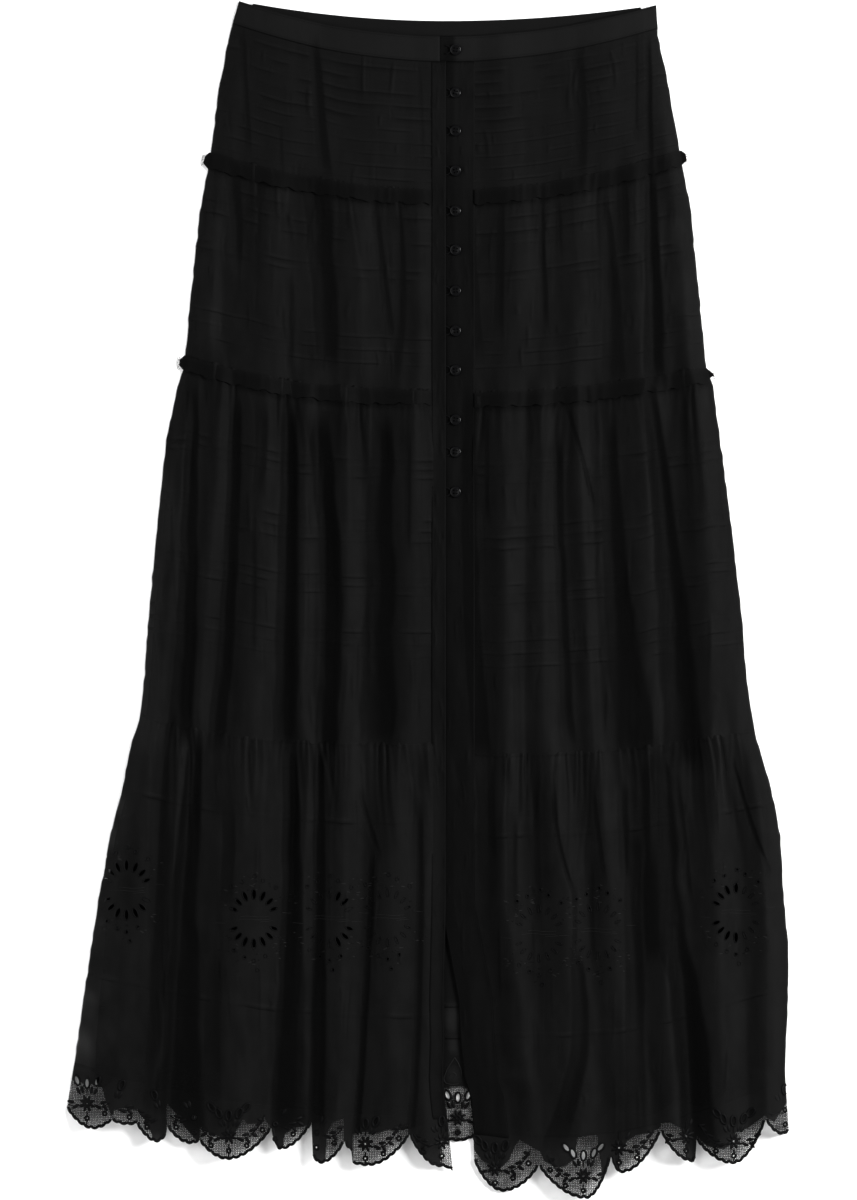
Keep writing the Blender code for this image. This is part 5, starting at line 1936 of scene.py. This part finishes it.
        rims.build(f"front_{half.value}_medallion_rims", self.finishes.thread, "voile", inside)
        pale_thread.build(f"front_{half.value}_medallion_threads", self.finishes.pale_thread, "voile", inside)

    def slit_curls(self) -> None:
        """The curls of pale thread on the back that the slit shows."""
        work = Work(self.cloths["back_tier_4"].height)
        for curl in SLIT_CURLS:
            corners = np.array(curl)
            at, spots = np.linspace(0.0, len(curl) - 1.0, 20), np.arange(len(curl))
            path = [np.interp(at, spots, corners[:, 0]), np.interp(at, spots, corners[:, 1])]
            work.cord(np.column_stack(path), 0.55, flat=0.6, lift=0.2, sides=5)
        work.build("back_slit_curls", self.finishes.pale_thread, "voile")

    def sewing(self, half: Half) -> None:
        """The rows of stitches along the waistband and the button strip of one front."""
        band = self.cloths[f"front_{half.value}_waistband"]
        work = Work(band.height)
        for share in (0.1, 0.9):
            x, drop = band.area.grid([share], 120)
            work.stitches(np.column_stack([x[0], drop[0]])[2:-2])
        work.build(f"front_{half.value}_waistband_stitches", self.finishes.thread, "band_cotton")
        strip = self.cloths[f"front_{half.value}_button_strip"]
        work = Work(strip.height)
        drops = np.linspace(60.0, 955.0, 300)
        for edge in (strip.area.left(drops) + 1.6, strip.area.right(drops) - 1.6):
            work.stitches(np.column_stack([edge, drops]))
        work.build(f"front_{half.value}_strip_stitches", self.finishes.thread, "voile")

    def waistband(self, half: Half) -> None:
        """The waistband of one front."""
        end = BAND_END if half is Half.LEFT else BAND_TAB
        area = front_area(half, side_line(half), lambda d: np.full_like(d, end), seam_line(TOP, half),
                          seam_line(WAIST, half, 0.6))
        self.add(Cloth(
            f"front_{half.value}_waistband", half, area, f"waistband_front_{half.value}",
            self.finishes.band, "band_cotton", 0.8, 1.3, above=1.1, layers=3, roll=1.0,
            crumple=0.25, valley=(15.0, 0.62) if half is Half.RIGHT else None,
            gathers=(Gathers(81, 40.0, 0.3, 9.0, 400.0, 500.0, 0.0, 0.1),)))


@dataclass(frozen=True)
class Button:
    """A round four-hole button with a raised rim, sewn on through its holes."""

    radius: float = BUTTON_RADIUS
    thick: float = 2.2
    hole: float = 0.75
    hole_out: float = 1.25

    def blank(self) -> bpy.types.Object:
        """Turns the button's profile, in millimetres."""
        r, t = self.radius, self.thick
        profile = ((0.0, 0.0), (r - 1.4, 0.0), (r - 0.4, 0.25), (r - 0.06, 0.7), (r, 1.0),
                   (r - 0.12, 1.35), (r - 0.4, t - 0.45), (r - 0.85, t - 0.15), (r - 1.4, t),
                   (r - 1.9, t - 0.06), (r - 2.5, t - 0.25), (0.0, t - 0.35))
        sides = 48
        turns = [2 * math.pi * n / sides for n in range(sides)]
        points = [(max(radius, 0.02) * math.cos(turn), max(radius, 0.02) * math.sin(turn), high)
                  for radius, high in profile for turn in turns]
        faces = []
        for ring in range(len(profile) - 1):
            for n in range(sides):
                a, b = ring * sides + n, ring * sides + (n + 1) % sides
                faces.append((a, b, b + sides, a + sides))
        faces.append(tuple(reversed(range(sides))))
        faces.append(tuple(range((len(profile) - 1) * sides, len(profile) * sides)))
        mesh = bpy.data.meshes.new("turned_button")
        mesh.from_pydata(points, [], faces)
        return new_object("button_blank", mesh)

    def mesh(self, material: Material) -> bpy.types.Mesh:
        """Bores the four holes of a blank.

        Args:
            material: The button's finish.

        Returns:
            The button's mesh, in metres.
        """
        blank = self.blank()
        for across, along in ((1, 1), (1, -1), (-1, 1), (-1, -1)):
            spot = (across * self.hole_out, along * self.hole_out, self.thick / 2)
            bpy.ops.mesh.primitive_cylinder_add(vertices=16, radius=self.hole, depth=3 * self.thick,
                                                location=spot)
            bore = blank.modifiers.new("bore", "BOOLEAN")
            bore.operation, bore.solver, bore.object = "DIFFERENCE", "EXACT", bpy.context.object
        graph = bpy.context.evaluated_depsgraph_get()
        bored = bpy.data.meshes.new_from_object(blank.evaluated_get(graph))
        for bore in list(blank.modifiers):
            bpy.data.objects.remove(bore.object)
        bpy.data.objects.remove(blank)
        for point in bored.vertices:
            point.co *= MM
        bored.materials.clear()
        bored.materials.append(material)
        bored.shade_smooth()
        bored.set_sharp_from_angle(angle=math.radians(40))
        return bored


@dataclass
class Buttons:
    """The row of twelve buttons, their thread and the loops that hold them."""

    finishes: Finishes
    shape: Button = Button()
    loop_x: float = 15.2
    loop_reach: float = 4.6
    loop_half: float = 3.6
    loop_radius: float = 0.75

    def build(self, strip: Cloth, band: Cloth) -> None:
        """Sews on the buttons, and makes their thread and loops as one piece.

        Args:
            strip: The strip that eleven of them lie on.
            band: The waistband under the first one.
        """
        mesh = self.shape.mesh(self.finishes.shell)
        thread = Work(lambda x, drop: np.zeros_like(x))
        rng = np.random.default_rng(SEED)
        half_turn = np.linspace(-0.5 * math.pi, 0.5 * math.pi, 14)
        for number, drop in enumerate(BUTTON_DROPS, start=1):
            base = band if drop < WAIST.left_inner else strip
            spots = np.array([BUTTON_X - 4, BUTTON_X, BUTTON_X + 4]), np.full(3, drop)
            seat = float(base.height(*spots).max()) + 0.4
            piece = new_object(f"button_{number}", mesh)
            piece.location = (BUTTON_X * MM, (TOP_Y - drop) * MM, seat * MM)
            piece.rotation_euler = (rng.uniform(-0.1, 0.1), rng.uniform(-0.16, 0.08),
                                    rng.uniform(-0.3, 0.3))
            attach(piece, "root")
            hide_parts(f"button_{number:02d}")
            out = self.shape.hole_out
            for way in (-1, 1):
                line = np.column_stack([np.linspace(-out, out, 7) + BUTTON_X, np.full(7, drop + way * out)])
                thread.cord(line, np.array([0.3, 0.42, 0.46, 0.48, 0.46, 0.42, 0.3]), lift=seat + 1.95)
            loop = np.column_stack([self.loop_x + self.loop_reach * np.cos(half_turn),
                                    drop + self.loop_half * np.sin(half_turn)])
            thread.cord(loop, self.loop_radius, lift=seat + 0.2)
        thread.build("button_thread_and_loops", self.finishes.thread, "voile")


@dataclass(frozen=True)
class Stage:
    """The floor, the light and the camera, none of which is part of the skirt."""

    floor: float = 0.9
    floor_low: float = -0.0006
    floor_reach: float = 8.0
    sky: float = 0.45
    camera_high: float = 6.0
    sensor: float = 24.0
    seen_wide: float = 1.038

    def light(self, name: str, spot: Triple, size: float, power: float) -> None:
        """A large soft lamp that faces the middle of the skirt."""
        data = bpy.data.lights.new(name, "AREA")
        data.shape, data.size, data.energy = "SQUARE", size, power
        lamp = new_object(name, data)
        lamp.location = spot
        lamp.rotation_mode = "QUATERNION"
        lamp.rotation_quaternion = Vector(spot).to_track_quat("Z", "Y")

    def build(self) -> None:
        """Builds the floor, the lamps and the camera."""
        scene = bpy.context.scene
        scene.view_settings.view_transform = "Standard"
        nodes = Nodes("pale_floor")
        grain = nodes.noise((30, 30, 30), 2.0)
        pale = nodes.colour(grain, (self.floor - 0.01,) * 3, (self.floor + 0.01,) * 3)
        nodes.finish(Base_Color=pale, Roughness=0.9, Specular_IOR_Level=0.0)
        mesh = bpy.data.meshes.new("floor")
        corners = [(across * self.floor_reach, along * self.floor_reach, self.floor_low)
                   for across, along in ((-1, -1), (1, -1), (1, 1), (-1, 1))]
        mesh.from_pydata(corners, [], [(0, 1, 2, 3)])
        mesh.materials.append(nodes.material)
        floor = new_object("floor", mesh)
        world = bpy.data.worlds.new("studio")
        world.use_nodes = True
        world.node_tree.nodes["Background"].inputs["Color"].default_value = (1.0, 1.0, 1.0, 1.0)
        world.node_tree.nodes["Background"].inputs["Strength"].default_value = self.sky
        scene.world = world
        self.light("key", (2.6, 0.7, 2.0), 1.3, 230.0)
        self.light("fill", (-2.8, 0.3, 2.2), 4.0, 125.0)
        camera = bpy.data.cameras.new("camera")
        camera.sensor_width, camera.lens = self.sensor, self.sensor * self.camera_high / self.seen_wide
        camera.clip_end = 50.0
        holder = new_object("camera", camera)
        holder.location = (0.0005, -0.0009, self.camera_high)
        scene.camera = holder


def main() -> None:
    """Builds the skirt and its stage."""
    logging.basicConfig(level=logging.INFO, format="%(message)s")
    skirt = Skirt()
    skirt.backs()
    skirt.borders(Half.BACK)
    skirt.slit_curls()
    for half in (Half.LEFT, Half.RIGHT):
        skirt.tiers(half)
        skirt.trims(half)
        skirt.frays(half)
        skirt.strips(half)
        skirt.waistband(half)
        skirt.borders(half)
        skirt.medallions(half)
        skirt.sewing(half)
    Buttons(skirt.finishes).build(skirt.cloths["front_right_button_strip"],
                                  skirt.cloths["front_right_waistband"])
    Stage().build()


if __name__ == "__main__":
    main()
